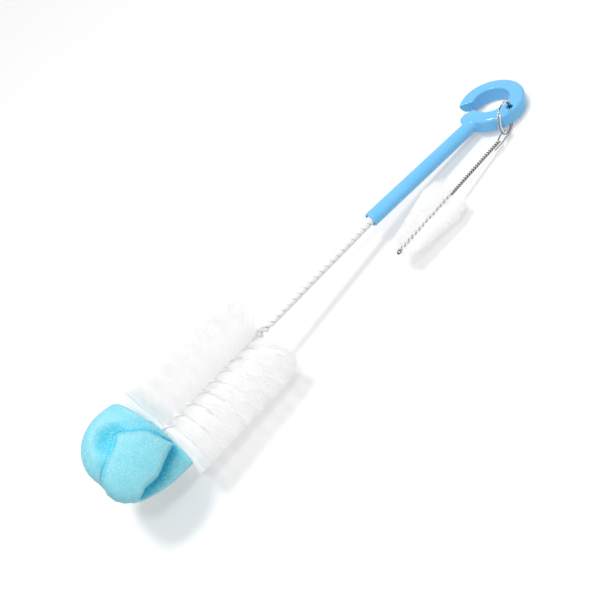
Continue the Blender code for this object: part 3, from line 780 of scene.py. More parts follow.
def vertices(mesh: bpy.types.Mesh, frame_of: Matrix) -> np.ndarray:
    """The places of a mesh's vertices.

    Args:
        mesh: The mesh.
        frame_of: Brings them into the frame that is wanted.

    Returns:
        One row for each vertex.
    """
    flat = np.empty(len(mesh.vertices) * 3, np.float32)
    mesh.vertices.foreach_get("co", flat)
    turned = np.array(frame_of)
    return flat.reshape(-1, 3) @ turned[:3, :3].T + turned[:3, 3]


def mark(mesh: bpy.types.Mesh, name: str, rows: np.ndarray) -> None:
    """Stores a number, or a row of three, at each vertex, for a material or a tree to read.

    Args:
        mesh: The mesh.
        name: What they are stored under.
        rows: The numbers, or the rows of three.
    """
    kind, part = (Kind.NUMBER, "value") if rows.ndim == 1 else (Kind.DIRECTION, "vector")
    mesh.attributes.new(name, kind.value, "POINT").data.foreach_set(part, rows.astype(np.float32).ravel())


# The frames of the brush


def joint(name: str) -> dict:
    """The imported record's joint of this name."""
    return next(row for row in frame["joints"] if row["name"] == name)


@dataclass
class Lie:
    """How the three bodies lie over the table, from the joints and a few sizes of the part."""

    hole_radius: float = 14.9 * MM
    hole_angle_deg: float = 86.0
    ring_azimuth_deg: float = 22.0
    shank_azimuth_deg: float = 6.9
    shank_slope_deg: float = 7.314

    def handle(self) -> Matrix:
        """The handle's frame: origin in the hook's middle, +X towards the head, +Z square to the hook.

        Returns:
            The frame in the row frame.
        """
        swing = joint("ring_swing")
        axis = Vector(swing["axis"])
        turned = Matrix.Rotation(math.atan2(axis.x, axis.z), 4, "Y")
        angle = math.radians(self.hole_angle_deg)
        hole = Vector((math.cos(angle), math.sin(angle), 0.0)) * self.hole_radius
        return Matrix.Translation(Vector(swing["pos_m"]) - turned @ hole) @ turned

    def ring(self) -> Matrix:
        """The split ring's frame: origin in its hole, +X towards the ring's middle."""
        azimuth = Matrix.Rotation(math.radians(self.ring_azimuth_deg), 4, "Z")
        return Matrix.Translation(joint("ring_swing")["pos_m"]) @ self.handle().to_3x3().to_4x4() @ azimuth

    def small_brush(self) -> Matrix:
        """The small brush's frame: origin in its eye, +X along its shank.

        Returns:
            The frame in the row frame.
        """
        swing = joint("small_brush_swing")
        azimuth, slope = math.radians(self.shank_azimuth_deg), math.radians(self.shank_slope_deg)
        level = math.cos(slope)
        shank = Vector((math.cos(azimuth) * level, math.sin(azimuth) * level, math.sin(slope)))
        side = Vector(swing["axis"]).cross(shank).normalized()
        turned = Matrix((shank, side, shank.cross(side))).transposed().to_4x4()
        return Matrix.Translation(swing["pos_m"]) @ turned


@dataclass(frozen=True)
class Twist:
    """Two wires twisted round a straight line along +X, which open where they clamp the bristles."""

    hand: int
    start: float
    head_start: float
    shank_pitch: float
    head_pitch: float
    shank_offset: float
    head_offset: float

    def angle(self, along: np.ndarray) -> np.ndarray:
        """The angle round the line that the first wire lies at.

        Args:
            along: Distances along the line.

        Returns:
            The angle at each distance.
        """
        shank = (np.minimum(along, self.head_start) - self.start) / self.shank_pitch
        head = np.maximum(along - self.head_start, 0.0) / self.head_pitch
        return self.hand * math.tau * (shank + head)

    def offset(self, along: np.ndarray) -> np.ndarray:
        """How far each wire's middle lies from the line."""
        opening = np.clip((along - self.head_start) / self.shank_pitch + 1.0, 0.0, 1.0)
        return self.shank_offset + (self.head_offset - self.shank_offset) * opening

    def across(self, along: np.ndarray, turn: float) -> np.ndarray:
        """The direction at an angle from the wires, one row for each distance."""
        angle = self.angle(along) + turn
        return np.stack([np.zeros_like(along), np.cos(angle), np.sin(angle)], axis=1)

    def wire(self, end: float, turn: float, step: float) -> np.ndarray:
        """Points along one wire.

        Args:
            end: How far along the line it runs.
            turn: Which of the two it is, as an angle.
            step: The distance between the points along the line.

        Returns:
            One row for each point.
        """
        along = np.linspace(self.start, end, max(2, round((end - self.start) / step)))
        line = np.stack([along, np.zeros_like(along), np.zeros_like(along)], axis=1)
        return line + self.across(along, turn) * self.offset(along)[:, None]


def laid_wire(tree: GeometryTree, name: str, points: np.ndarray, diameter: float, sides: int, place: Matrix,
              material: bpy.types.Material) -> bpy.types.Mesh:
    """A round wire along points, in the row frame.

    Args:
        tree: The tree that lays round wires.
        name: The mesh's name.
        points: The wire's line, in its own frame.
        diameter: The wire's thickness.
        sides: The faces round it.
        place: The frame of the points.
        material: Its finish.

    Returns:
        The mesh.
    """
    guide = plain_mesh(f"{name}_line", points, (), [(end - 1, end) for end in range(1, len(points))])
    mesh = tree.grow(name, guide, {"Diameter": diameter, "Sides": sides, "Material": material})
    mesh.transform(place)
    return mesh


@dataclass
class BristleHead:
    """A head of fine bristles, clamped by a twist of wires and pressed flat where it meets the table.

    Attributes:
        start: Where it begins along the wires.
        reach: Gives how far the strands reach at each share of the head's length.
        lean: How far the tips lie along the wires from the roots, at the head's two ends.
        bend: How far a strand bows to the side.
        fan: Half the most that a strand strays round the wires, as an angle.
        lean_spread: The most that a strand strays along the wires, as a share of its reach.
        trim_spread: The most that its length strays, as a share of it.
        tidy_end: How far from either end the strands stray less.
        parting_deg: The side on which the strands part, so that the wires show.
        parting_push: The most that they part, as an angle.
        parting_width: How far round the parting they do, as an angle.
    """

    name: str
    start: float
    length: float
    strands: int
    diameter: float
    reach: Callable[[np.ndarray], np.ndarray]
    lean: tuple[float, float]
    bend: float
    fan: float
    lean_spread: float
    trim_spread: float
    seed: int
    tidy_end: float
    parting_deg: float
    parting_push: float = 0.20
    parting_width: float = 0.5
    least_loose: float = 0.1
    table_clearance: float = 0.1 * MM

    def directions(self, twist: Twist, along: np.ndarray) -> np.ndarray:
        """The angle round the line at which each strand stands.

        The strands fan out from the plane that the wires clamp them in, and part where the wires show.

        Args:
            twist: The wires that clamp them.
            along: Where the strands' roots are along the line.

        Returns:
            The angles.
        """
        side = np.where(np.arange(self.strands) % 2 == 0, 0.5, -0.5) * math.pi
        wander = np.random.default_rng(self.seed).uniform(-self.fan, self.fan, (2, self.strands)).sum(axis=0)
        angle = twist.angle(along) + side + wander
        from_parting = (angle - math.radians(self.parting_deg) + math.pi) % math.tau - math.pi
        push = self.parting_push * np.exp(-(from_parting / self.parting_width) ** 2)
        return angle + np.sign(from_parting) * push

    def guide(self, twist: Twist) -> bpy.types.Mesh:
        """The strands' roots, with what each strand needs to know.

        Args:
            twist: The wires that clamp them.

        Returns:
            A mesh of loose points.
        """
        share = (np.arange(self.strands) + 0.5) / self.strands
        along = self.start + self.length * share
        angle = self.directions(twist, along)
        reach = self.reach(share)
        lean = (self.lean[0] + (self.lean[1] - self.lean[0]) * share) / reach
        from_end = np.minimum(share, 1.0 - share) * self.length
        mesh = plain_mesh(f"{self.name}_roots", np.stack([along, along * 0, along * 0], axis=1), ())
        mark(mesh, "out", np.stack([lean, np.cos(angle), np.sin(angle)], axis=1))
        mark(mesh, "reach", reach)
        mark(mesh, "loose", np.clip(from_end / self.tidy_end, self.least_loose, 1.0))
        mark(mesh, "along", np.tile((1.0, 0.0, 0.0), (self.strands, 1)))
        return mesh

    def build(self, tree: GeometryTree, twist: Twist, place: Matrix,
              material: bpy.types.Material) -> bpy.types.Mesh:
        """The whole head in the row frame.

        Args:
            tree: The tree that grows bristles.
            twist: The wires that clamp them.
            place: The frame of the twist's line.
            material: Their finish.

        Returns:
            The mesh.
        """
        mesh = tree.grow(self.name, self.guide(twist), {
            "Nominal Reach": float(self.reach(np.array([0.5]))[0]), "Diameter": self.diameter,
            "Bend": self.bend, "Roll Spread": math.pi, "Lean Spread": self.lean_spread,
            "Trim Spread": self.trim_spread, "Seed": self.seed, "Material": material})
        mesh.transform(place)
        points = vertices(mesh, Matrix.Identity(4))
        points[:, 2] = np.maximum(points[:, 2], self.table_clearance)
        mesh.vertices.foreach_set("co", points.ravel())
        return mesh


# Sub-assemblies


@dataclass
class Handle:
    """The moulded handle: a hook ring with a mouth and a hole, and a tapered tube for the stem.

    Angles go round the hook's middle from the tube.

    Attributes:
        end_angle_deg: Where the hook's free end is.
        end_slant_deg: How its face is slanted.
        under_inner, under_level: Where the slope under the free end starts, across the hook and in height.
        under_from_deg: Where round the hook the slope starts.
        under_past_deg: How far past the free end it goes.
        under_steepness: How quickly it deepens towards the end.
        tongue_angle_deg: The way out from the hook's middle that the tongue's straight side runs.
        tongue_inset: How far inside the hook's rim that side ends.
    """

    outer_radius: float = 18.5 * MM
    band: float = 8.2 * MM
    thickness: float = 8.5 * MM
    rim_fillet: float = 1.8 * MM
    inner_fillet: float = 0.8 * MM
    end_angle_deg: float = -58.2
    end_slant_deg: float = -42.0
    under_inner: float = 10.3 * MM
    under_level: float = -3.0 * MM
    under_slope_deg: float = 21.0
    under_from_deg: float = -150.0
    under_past_deg: float = 14.0
    under_steepness: float = 1.1
    under_soft: float = 4.0 * MM
    tongue_angle_deg: float = -22.0
    tongue_round: float = 3.0 * MM
    tongue_inset: float = 1.0 * MM
    tongue_blend: float = 0.5 * MM
    length: float = 98.8 * MM
    root_radius: float = 3.84 * MM
    mouth_radius: float = 4.18 * MM
    mouth_round: float = 1.2 * MM
    bore_radius: float = 3.0 * MM
    bore_depth: float = 35 * MM
    edge_round: float = 0.9 * MM
    tube_fillet: float = 1.4 * MM
    hole_radius: float = 1.8 * MM
    hole_place: tuple[float, float] = (1.039 * MM, 14.864 * MM)
    hole_round: float = 0.5 * MM
    hole_flare: float = 1.5 * MM
    cell: float = 0.42 * MM

    def band_distance(self, x: np.ndarray, y: np.ndarray, z: np.ndarray) -> np.ndarray:
        """The full hook ring, rounded more outside than inside.

        Args:
            x, y, z: Places in the handle's frame.

        Returns:
            The distances.
        """
        middle = self.outer_radius - self.band / 2
        across = np.hypot(x, y) - middle
        fillet = np.where(across > 0, self.rim_fillet, self.inner_fillet)
        wide = np.abs(across) - (self.band / 2 - fillet)
        tall = np.abs(z) - (self.thickness / 2 - fillet)
        outside = np.hypot(np.maximum(wide, 0), np.maximum(tall, 0))
        return outside + np.minimum(np.maximum(wide, tall), 0) - fillet

    def past_end(self, x: np.ndarray, y: np.ndarray) -> np.ndarray:
        """How far beyond the free end's slanted face a place is, negative in the hook.

        Args:
            x, y: Places in the handle's frame.

        Returns:
            The distances.
        """
        middle = self.outer_radius - self.band / 2
        angle, slant = math.radians(self.end_angle_deg), math.radians(self.end_slant_deg)
        return ((y - middle * math.sin(angle)) * math.cos(slant)
                - (x - middle * math.cos(angle)) * math.sin(slant))

    def tongue_frame(self, x: np.ndarray,
                     y: np.ndarray) -> tuple[np.ndarray, np.ndarray, tuple[float, float]]:
        """Places measured from the tongue.

        Args:
            x, y: Places in the handle's frame.

        Returns:
            How far they lie above the tongue's straight side, how far past its touch, and its round's middle.
        """
        angle = math.radians(self.tongue_angle_deg)
        touch = self.outer_radius - self.tongue_inset
        round_middle = (touch * math.cos(angle) - self.tongue_round * math.sin(angle),
                        touch * math.sin(angle) + self.tongue_round * math.cos(angle))
        above = y * math.cos(angle) - x * math.sin(angle)
        past = x * math.cos(angle) + y * math.sin(angle) - touch
        return above, past, round_middle

    def mouth_distance(self, x: np.ndarray, y: np.ndarray) -> np.ndarray:
        """The space between the hook's free end and the tongue beside the tube.

        Args:
            x, y: Places in the handle's frame.

        Returns:
            The distances.
        """
        above, past, round_middle = self.tongue_frame(x, y)
        under_tongue = np.minimum(above, np.maximum(-past, y - round_middle[1]))
        return np.maximum(np.maximum(under_tongue, -self.past_end(x, y)), -x)

    def tongue_distance(self, x: np.ndarray, y: np.ndarray, z: np.ndarray) -> np.ndarray:
        """The round end of the tongue, with a rounded edge.

        Args:
            x, y, z: Places in the handle's frame.

        Returns:
            The distances.
        """
        _, _, (middle_x, middle_y) = self.tongue_frame(x, y)
        wide = np.hypot(x - middle_x, y - middle_y) - self.tongue_round
        return soft_max(wide, np.abs(z) - self.thickness / 2, self.edge_round * 2)

    def under_end_distance(self, x: np.ndarray, y: np.ndarray, z: np.ndarray) -> np.ndarray:
        """The slope that takes the outer corner off the underside of the free end.

        Args:
            x, y, z: Places in the handle's frame.

        Returns:
            How far they lie in what is taken off, and away from the end a number that takes nothing.
        """
        slope = math.radians(self.under_slope_deg)
        outwards = np.hypot(x, y) - self.under_inner
        below = (self.under_level - z) * math.cos(slope) + outwards * math.sin(slope)
        angle = np.degrees(np.arctan2(y, x))
        near = (angle > self.under_from_deg) & (angle < self.end_angle_deg + self.under_past_deg)
        return np.where(near, below + self.past_end(x, y) * self.under_steepness, -self.band)

    def tube_distance(self, x: np.ndarray, y: np.ndarray, z: np.ndarray) -> np.ndarray:
        """The tapered tube, closed inside the hook's band.

        Args:
            x, y, z: Places in the handle's frame.

        Returns:
            The distances.
        """
        start = self.outer_radius - self.band / 2
        share = np.clip((x - start) / (self.length - start), 0.0, 1.0)
        radius = self.root_radius + (self.mouth_radius - self.root_radius) * share
        return np.maximum(soft_max(np.hypot(y, z) - radius, x - self.length, self.mouth_round), start - x)

    def distance(self, points: np.ndarray) -> np.ndarray:
        """The whole handle: the hook, its mouth and tongue, the tube, its bore and the ring's hole.

        Args:
            points: Places in the handle's frame.

        Returns:
            The distances.
        """
        x, y, z = points.T
        hook = soft_max(self.band_distance(x, y, z), self.under_end_distance(x, y, z), self.under_soft)
        hook = soft_max(hook, -self.mouth_distance(x, y), self.edge_round)
        hook = soft_min(hook, self.tongue_distance(x, y, z), self.tongue_blend)
        whole = soft_min(hook, self.tube_distance(x, y, z), self.tube_fillet)
        bore = np.maximum(np.hypot(y, z) - self.bore_radius, self.length - self.bore_depth - x)
        whole = soft_max(whole, -bore, self.hole_round)
        flare = np.maximum(-z - self.thickness / 2 + self.hole_flare, 0.0)
        hole = np.hypot(x - self.hole_place[0], y - self.hole_place[1]) - self.hole_radius - flare
        return soft_max(whole, -hole, self.hole_round)

    def build(self, lie: Lie, finishes: Finishes) -> None:
        """Makes the handle in place.

        Args:
            lie: Where the bodies lie.
            finishes: The materials.
        """
        edge = self.cell * EDGE_CELLS
        reach, level = self.outer_radius + edge, self.thickness / 2 + edge
        low, high = (-reach, -reach, -level), (self.length + edge, reach, level)
        points, quads = skin(self.distance, low, high, self.cell)
        mesh = skinned("handle_moulding", points, quads, lie.handle(), finishes.moulding)
        finished(mesh, Body.BRUSH, "handle")


@dataclass
class Stem:
    """The two coated wires and the round head of bristles between them."""

    bend_at: float = 96.8 * MM
    lean_deg: float = 3.38
    wire_diameter: float = 2.2 * MM
    wire_gap: float = 0.38 * MM
    coat: float = 0.06 * MM
    handle_end: float = 66.0 * MM
    pitch: float = 8.3 * MM
    head_pitch: float = 15.4 * MM
    head_start: float = 188 * MM
    head_length: float = 64.5 * MM
    head_radius: float = 27.5 * MM
    shoulder: float = 9 * MM
    shoulder_drop: float = 3.2 * MM
    web: float = 0.4 * MM
    web_gap: float = 0.28 * MM
    foam_gap: float = 1.6 * MM
    in_foam: float = 13 * MM
    coat_sides: int = 28
    coat_step: float = 0.4 * MM
    coat_corner: float = 6.0

    def twist(self) -> Twist:
        """The twist of the pair.

        Returns:
            The twist.
        """
        return Twist(hand=1, start=self.handle_end, head_start=self.head_start - self.wire_diameter,
                     shank_pitch=self.pitch, head_pitch=self.head_pitch,
                     shank_offset=(self.wire_diameter + self.wire_gap) / 2,
                     head_offset=self.wire_diameter / 2 + self.web / 2 + self.web_gap)

    def leaned(self, points: np.ndarray) -> np.ndarray:
        """Points along the straight line, bent at the handle's mouth as the stem is.

        Args:
            points: One row for each point.

        Returns:
            The bent points, in the handle's frame.
        """
        lean = math.radians(self.lean_deg)
        straight, side = points[:, 0], points[:, 1]
        past = straight > self.bend_at
        beyond = np.maximum(straight - self.bend_at, 0.0)
        along = np.minimum(straight, self.bend_at) + beyond * math.cos(lean)
        along = along - np.where(past, side * math.sin(lean), 0.0)
        across = beyond * math.sin(lean) + side * np.where(past, math.cos(lean), 1.0)
        return np.stack([along, across, points[:, 2]], axis=1)

    def line(self) -> Matrix:
        """The stem's own frame past the bend, whose distances along are those from the hook.

        Returns:
            The frame in the handle's.
        """
        turned = Matrix.Rotation(math.radians(self.lean_deg), 4, "Z")
        bend = Vector((self.bend_at, 0.0, 0.0))
        return Matrix.Translation(bend) @ turned @ Matrix.Translation(-bend)

    def reach(self, share: np.ndarray) -> np.ndarray:
        """How far the bristles reach at a share of the head's length."""
        rounding = np.maximum(1.0 - share * self.head_length / self.shoulder, 0.0)
        return self.head_radius - self.shoulder_drop * rounding ** 2

    def pressed_reach(self, angle: np.ndarray) -> np.ndarray:
        """How far the coating reaches where it is pressed flat against the other wire's.

        Args:
            angle: Directions from the wire's middle, where 0 is straight away from the other wire.

        Returns:
            The reach in each direction.
        """
        apart = self.twist().shank_offset
        outside = apart + (self.wire_diameter / 2 + self.coat)
        to_outside = np.sqrt(outside ** 2 - (apart * np.sin(angle)) ** 2) - apart * np.cos(angle)
        to_other = (apart - self.coat / 2) / np.maximum(-np.cos(angle), TINY)
        corner = self.coat_corner
        return (to_outside ** -corner + to_other ** -corner) ** (-1 / corner)

    def coated(self, node: str, turn: float) -> bpy.types.Mesh:
        """One coated wire: soft coating pressed flat against the other wire's, and round among the bristles.

        Args:
            node: The CAD node that it stands for.
            turn: Which of the two it is, as an angle.

        Returns:
            The mesh, in the handle's frame.
        """
        twist = self.twist()
        end = self.head_start + self.head_length + self.foam_gap + self.in_foam
        along = np.linspace(twist.start, end, round((end - twist.start) / self.coat_step))[:, None]
        angle = np.linspace(0.0, math.tau, self.coat_sides, endpoint=False)[None, :]
        round_reach = self.wire_diameter / 2 + self.coat
        pressed = np.clip((self.head_start - self.pitch / 2 - along) / self.pitch, 0.0, 1.0)
        reach = round_reach + (self.pressed_reach(angle) - round_reach) * pressed
        out, side = twist.offset(along) + reach * np.cos(angle), reach * np.sin(angle)
        facing = twist.angle(along) + turn
        points = np.stack([np.broadcast_to(along, out.shape), out * np.cos(facing) - side * np.sin(facing),
                           out * np.sin(facing) + side * np.cos(facing)], axis=-1).reshape(-1, 3)
        rings, sides = out.shape
        faces = [(ring * sides + here, ring * sides + beside,
                  (ring + 1) * sides + beside, (ring + 1) * sides + here)
                 for ring in range(rings - 1)
                 for here, beside in zip(range(sides), [*range(1, sides), 0])]
        faces += [tuple(range(sides))[::-1], tuple(range((rings - 1) * sides, rings * sides))]
        mesh = plain_mesh(f"{node}_coated", self.leaned(points), faces)
        mesh.shade_smooth()
        return mesh

    def build(self, lie: Lie, finishes: Finishes, bristles: GeometryTree) -> None:
        """Makes the wires and the head in place.

        Args:
            lie: Where the bodies lie.
            finishes: The materials.
            bristles: The tree that grows bristles.
        """
        for node, turn in (("stem_wire_a", 0.0), ("stem_wire_b", math.pi)):
            mesh = self.coated(node, turn)
            mesh.transform(lie.handle())
            mesh.materials.append(finishes.coating)
            finished(mesh, Body.BRUSH, node)
        head = BristleHead(
            name="head_bristles", start=self.head_start, length=self.head_length, strands=13000,
            diameter=0.2 * MM, reach=self.reach, lean=(-3.8 * MM, 2.2 * MM), bend=1.2 * MM, fan=0.62,
            lean_spread=0.05, trim_spread=0.006, seed=11, tidy_end=9 * MM, parting_deg=41.0)
        mesh = head.build(bristles, self.twist(), lie.handle() @ self.line(), finishes.nylon)
        finished(mesh, Body.BRUSH, "main_bristles")


def outline_distance(x: np.ndarray, y: np.ndarray, outline: Sequence[tuple[float, float]]) -> np.ndarray:
    """The distance from a closed outline in a plane.

    Args:
        x: Places along the first axis.
        y: Places along the second.
        outline: The outline's corners.

    Returns:
        The distances, negative inside.
    """
    least = np.full(x.shape, np.inf)
    inside = np.zeros(x.shape, bool)
    for (start_x, start_y), (end_x, end_y) in zip(outline, [*outline[1:], outline[0]]):
        run_x, run_y = end_x - start_x, end_y - start_y
        from_x, from_y = x - start_x, y - start_y
        share = np.clip((from_x * run_x + from_y * run_y) / (run_x * run_x + run_y * run_y), 0.0, 1.0)
        least = np.minimum(least, (from_x - run_x * share) ** 2 + (from_y - run_y * share) ** 2)
        if run_y:
            spans = (start_y > y) != (end_y > y)
            inside ^= spans & (from_x < run_x * from_y / run_y)
    return np.where(inside, -1.0, 1.0) * np.sqrt(least)


@dataclass(frozen=True)
class Petal:
    """One petal of the foam: an egg, cut to an outline across it where the foam was cut.

    Shares along are of the foam's length, and the rest are of its radius.

    Attributes:
        middle: The egg's middle: along, across, out.
        radii: The egg's radii towards the base, the tip, each side, outwards and inwards.
        outline: The outline's corners: along, across.
        cut_edge: The rounding between the dome and the cut.
        under: Whether it lies on the table's side.
    """

    middle: tuple[float, float, float]
    radii: tuple[float, float, float, float, float]
    outline: tuple[tuple[float, float], ...]
    cut_edge: float
    under: bool = False

    def distance(self, along: np.ndarray, across: np.ndarray, out: np.ndarray, length: float,
                 radius: float) -> np.ndarray:
        """The distance from the petal.

        Args:
            along: Places along the stem from the foam's base.
            across: Places across it.
            out: Places square to both.
            length: The foam's length.
            radius: The foam's radius.

        Returns:
            The distances, negative inside.
        """
        if self.under:
            across, out = -across, -out
        base, tip, side, outer, inner = self.radii
        place = (along - self.middle[0] * length, across - self.middle[1] * radius,
                 out - self.middle[2] * radius)
        reach = (np.where(place[0] > 0, tip, base) * length, side * radius,
                 np.where(place[2] > 0, outer, inner) * radius)
        near = np.sqrt(sum((here / most) ** 2 for here, most in zip(place, reach)))
        slope = np.sqrt(sum((here / (most * most)) ** 2 for here, most in zip(place, reach)))
        egg = near * (near - 1.0) / np.maximum(slope, TINY)
        cut = [(share_along * length, share_across * radius) for share_along, share_across in self.outline]
        return soft_max(egg, outline_distance(along, across, cut), self.cut_edge)


WIDE_PETAL = Petal(
    middle=(0.453, -0.292, 0.073), radii=(0.703, 0.55, 0.712, 0.639, 0.657), cut_edge=1.8 * MM,
    outline=((0.03, 0.5), (0.045, 0.1), (0.1, -0.5), (0.15, -0.9), (0.22, -1.1), (1.1, -1.1), (1.1, 0.5)))
WEDGE_PETAL = Petal(
    middle=(0.414, 0.219, -0.146), radii=(0.78, 0.6, 0.85, 0.456, 0.474), cut_edge=1.2 * MM,
    outline=((-0.1, -0.4), (-0.1, 0.765), (0.35, 0.74), (0.57, 0.68), (0.74, 0.6), (0.84, 0.51), (0.94, 0.3),
             (0.94, -0.4)))
TOP_PETAL = Petal(
    middle=(0.492, 0.0, 0.146), radii=(0.651, 0.651, 0.949, 0.825, 0.3), cut_edge=2.4 * MM,
    outline=((0.076, 0.255), (0.159, -0.033), (0.195, -0.175), (0.258, -0.266), (0.346, -0.358),
             (0.427, -0.474), (0.477, -0.496), (0.609, -0.387), (0.727, -0.328), (0.857, -0.237),
             (0.956, -0.128), (0.984, -0.062), (1.018, 0.08), (1.003, 0.252), (0.938, 0.401), (0.844, 0.5),
             (0.766, 0.49), (0.695, 0.442), (0.479, 0.456), (0.279, 0.343)))
UNDER_PETAL = Petal(
    middle=(0.466, 0.0, 0.073), radii=(0.7, 0.54, 0.85, 0.803, 0.2), cut_edge=1.3 * MM, under=True,
    outline=((-0.1, 0.25), (0.05, -0.3), (0.35, -0.5), (0.6, -0.5), (0.85, -0.36), (0.98, -0.1), (0.98, 0.3),
             (0.85, 0.5), (0.5, 0.5), (0.2, 0.4)))


@dataclass
class FoamTip:
    """The foam tip: a wide petal beside a wedge, and one petal over and one under both, with folds between.

    Attributes:
        facing_deg: Which way round the stem the top petal faces.
        crease: The rounding where two petals meet.
        fold_width: How far a fold stands open beside a petal.
        fold_depth: How deep a fold goes under the surface.
        fold_end_share: Where along the foam a fold closes.
        fold_end_rate, fold_side_rate: How quickly it opens from there, and from the petal's middle.
        fold_side_start: How much of the latter is spent before it begins to open.
        pocket_share: Where the pocket between petal and wedge lies: along, across, out.
        fold_shade_reach: How far in front of a place its room is measured, for the painted shade in folds.
        fold_shade_weights: How much a lack of room at each of these distances darkens it with painted shade.
        thin_edge_light_reach: How deep under a place the foam is looked for, to find its thin edges, which
            get painted light.
        thin_edge_light_rate: How quickly an edge turns pale with painted light as it thins.
        grain: How far its cut surface is rough.
    """

    length: float = 38.4 * MM
    radius: float = 27.4 * MM
    facing_deg: float = 41.0
    base_edge: float = 1.2 * MM
    crease: float = 1.5 * MM
    fold_width: float = 2.2 * MM
    fold_depth: float = 2.4 * MM
    fold_soft: float = 2.5 * MM
    fold_end_share: float = 0.80
    fold_end_rate: float = 2.2
    fold_side_rate: float = 5.0
    fold_side_start: float = 0.2
    pocket_radius: float = 9.0 * MM
    pocket_share: tuple[float, float, float] = (0.60, -0.62, 0.78)
    pocket_soft: float = 4.0 * MM
    # The painted shade in folds is measured from the room in front of each point.
    fold_shade_reach: tuple[float, float] = (4.0 * MM, 14.0 * MM)
    fold_shade_weights: tuple[float, float] = (0.3, 1.5)
    # Painted light on thin edges is measured from how much foam lies under each point.
    thin_edge_light_reach: float = 2.2 * MM
    thin_edge_light_rate: float = 1.5
    cell: float = 0.45 * MM
    side_room: float = 1.05
    tip_room: float = 1.06
    grain: float = 0.06 * MM
    seed: int = 23

    def petal(self, shape: Petal, points: np.ndarray) -> np.ndarray:
        """The distance of each point from one petal."""
        return shape.distance(*points.T, self.length, self.radius)

    def distance(self, points: np.ndarray) -> np.ndarray:
        """The whole foam: the lower petals with their pocket, then the petals over and under them.

        Args:
            points: Places in the foam's frame.

        Returns:
            The distances.
        """
        along, across = points[:, 0], points[:, 1]
        lower = soft_min(self.petal(WIDE_PETAL, points), self.petal(WEDGE_PETAL, points), self.crease)
        sizes = (self.length, self.radius, self.radius)
        middle = np.array([share * size for share, size in zip(self.pocket_share, sizes)])
        pocket = np.linalg.norm(points - middle, axis=1) - self.pocket_radius
        lower = soft_max(lower, -pocket, self.pocket_soft)
        opening = np.clip((self.fold_end_share - along / self.length) * self.fold_end_rate, 0.0, 1.0)
        aside = np.abs(across) / self.radius * self.fold_side_rate
        opening *= np.clip(aside - self.fold_side_start, 0.0, 1.0)
        made = lower
        for shape, side in ((TOP_PETAL, across), (UNDER_PETAL, -across)):
            over = self.petal(shape, points)
            valley = soft_max(over - self.fold_width * opening * (side > 0), -lower - self.fold_depth,
                              self.fold_soft)
            made = soft_min(soft_max(made, -valley, self.fold_soft), over, self.crease)
        return soft_max(made, -along, self.base_edge)

    def folds(self, points: np.ndarray, normal: np.ndarray) -> np.ndarray:
        """How deep each point lies in a fold, from 0 in the open to 1, by the room in front of it; it sets
        the painted shade in folds.

        Args:
            points: Places on the foam's surface.
            normal: The way that the surface faces at each.

        Returns:
            The depths.
        """
        closed = [np.clip(1.0 - self.distance(points + normal * reach) / reach, 0.0, 1.0)
                  for reach in self.fold_shade_reach]
        return np.clip(sum(weight * share for weight, share in zip(self.fold_shade_weights, closed)), 0.0, 1.0)

    def edges(self, points: np.ndarray, normal: np.ndarray) -> np.ndarray:
        """How thin the foam is under each point, from 0 where it is thick to 1; it sets the painted light on
        thin edges.

        Args:
            points: Places on the foam's surface.
            normal: The way that the surface faces at each.

        Returns:
            The thinness.
        """
        thin = 1.0 + self.distance(points - normal * self.thin_edge_light_reach) / self.thin_edge_light_reach
        return np.clip(thin * self.thin_edge_light_rate, 0.0, 1.0)

    def frame(self, stem: Stem) -> Matrix:
        """The foam's frame in the stem's line: origin at its base, +X along, +Z out at the top petal.

        Args:
            stem: The stem that it sits on.

        Returns:
            The frame.
        """
        angle = math.radians(self.facing_deg)
        out = Vector((0.0, math.cos(angle), math.sin(angle)))
        along = Vector((1.0, 0.0, 0.0))
        turned = Matrix((along, out.cross(along), out)).transposed().to_4x4()
        return Matrix.Translation((stem.head_start + stem.head_length + stem.foam_gap, 0.0, 0.0)) @ turned

    def build(self, lie: Lie, stem: Stem, finishes: Finishes) -> None:
        """Makes the foam in place.

        Args:
            lie: Where the bodies lie.
            stem: The stem that it sits on.
            finishes: The materials.
        """
        edge, wide = 2 * self.cell, self.radius * self.side_room
        points, quads = skin(self.distance, (-edge, -wide, -wide), (self.length * self.tip_room, wide, wide),
                             self.cell)
        normal = slopes(self.distance, points, self.cell)
        normal /= np.maximum(np.linalg.norm(normal, axis=1, keepdims=True), TINY)
        rough = np.random.default_rng(self.seed).normal(0.0, self.grain, (len(points), 1))
        rough = np.clip(rough, -2 * self.grain, 2 * self.grain)
        place = lie.handle() @ stem.line() @ self.frame(stem)
        mesh = skinned("foam_tip", points + normal * rough, quads, place, finishes.foam)
        # Where the foam's material paints shade in folds.
        mark(mesh, "fold", self.folds(points, normal))
        # Where the foam's material paints light on thin edges.
        mark(mesh, "thin_edge_light", self.edges(points, normal))
        finished(mesh, Body.BRUSH, "sponge")


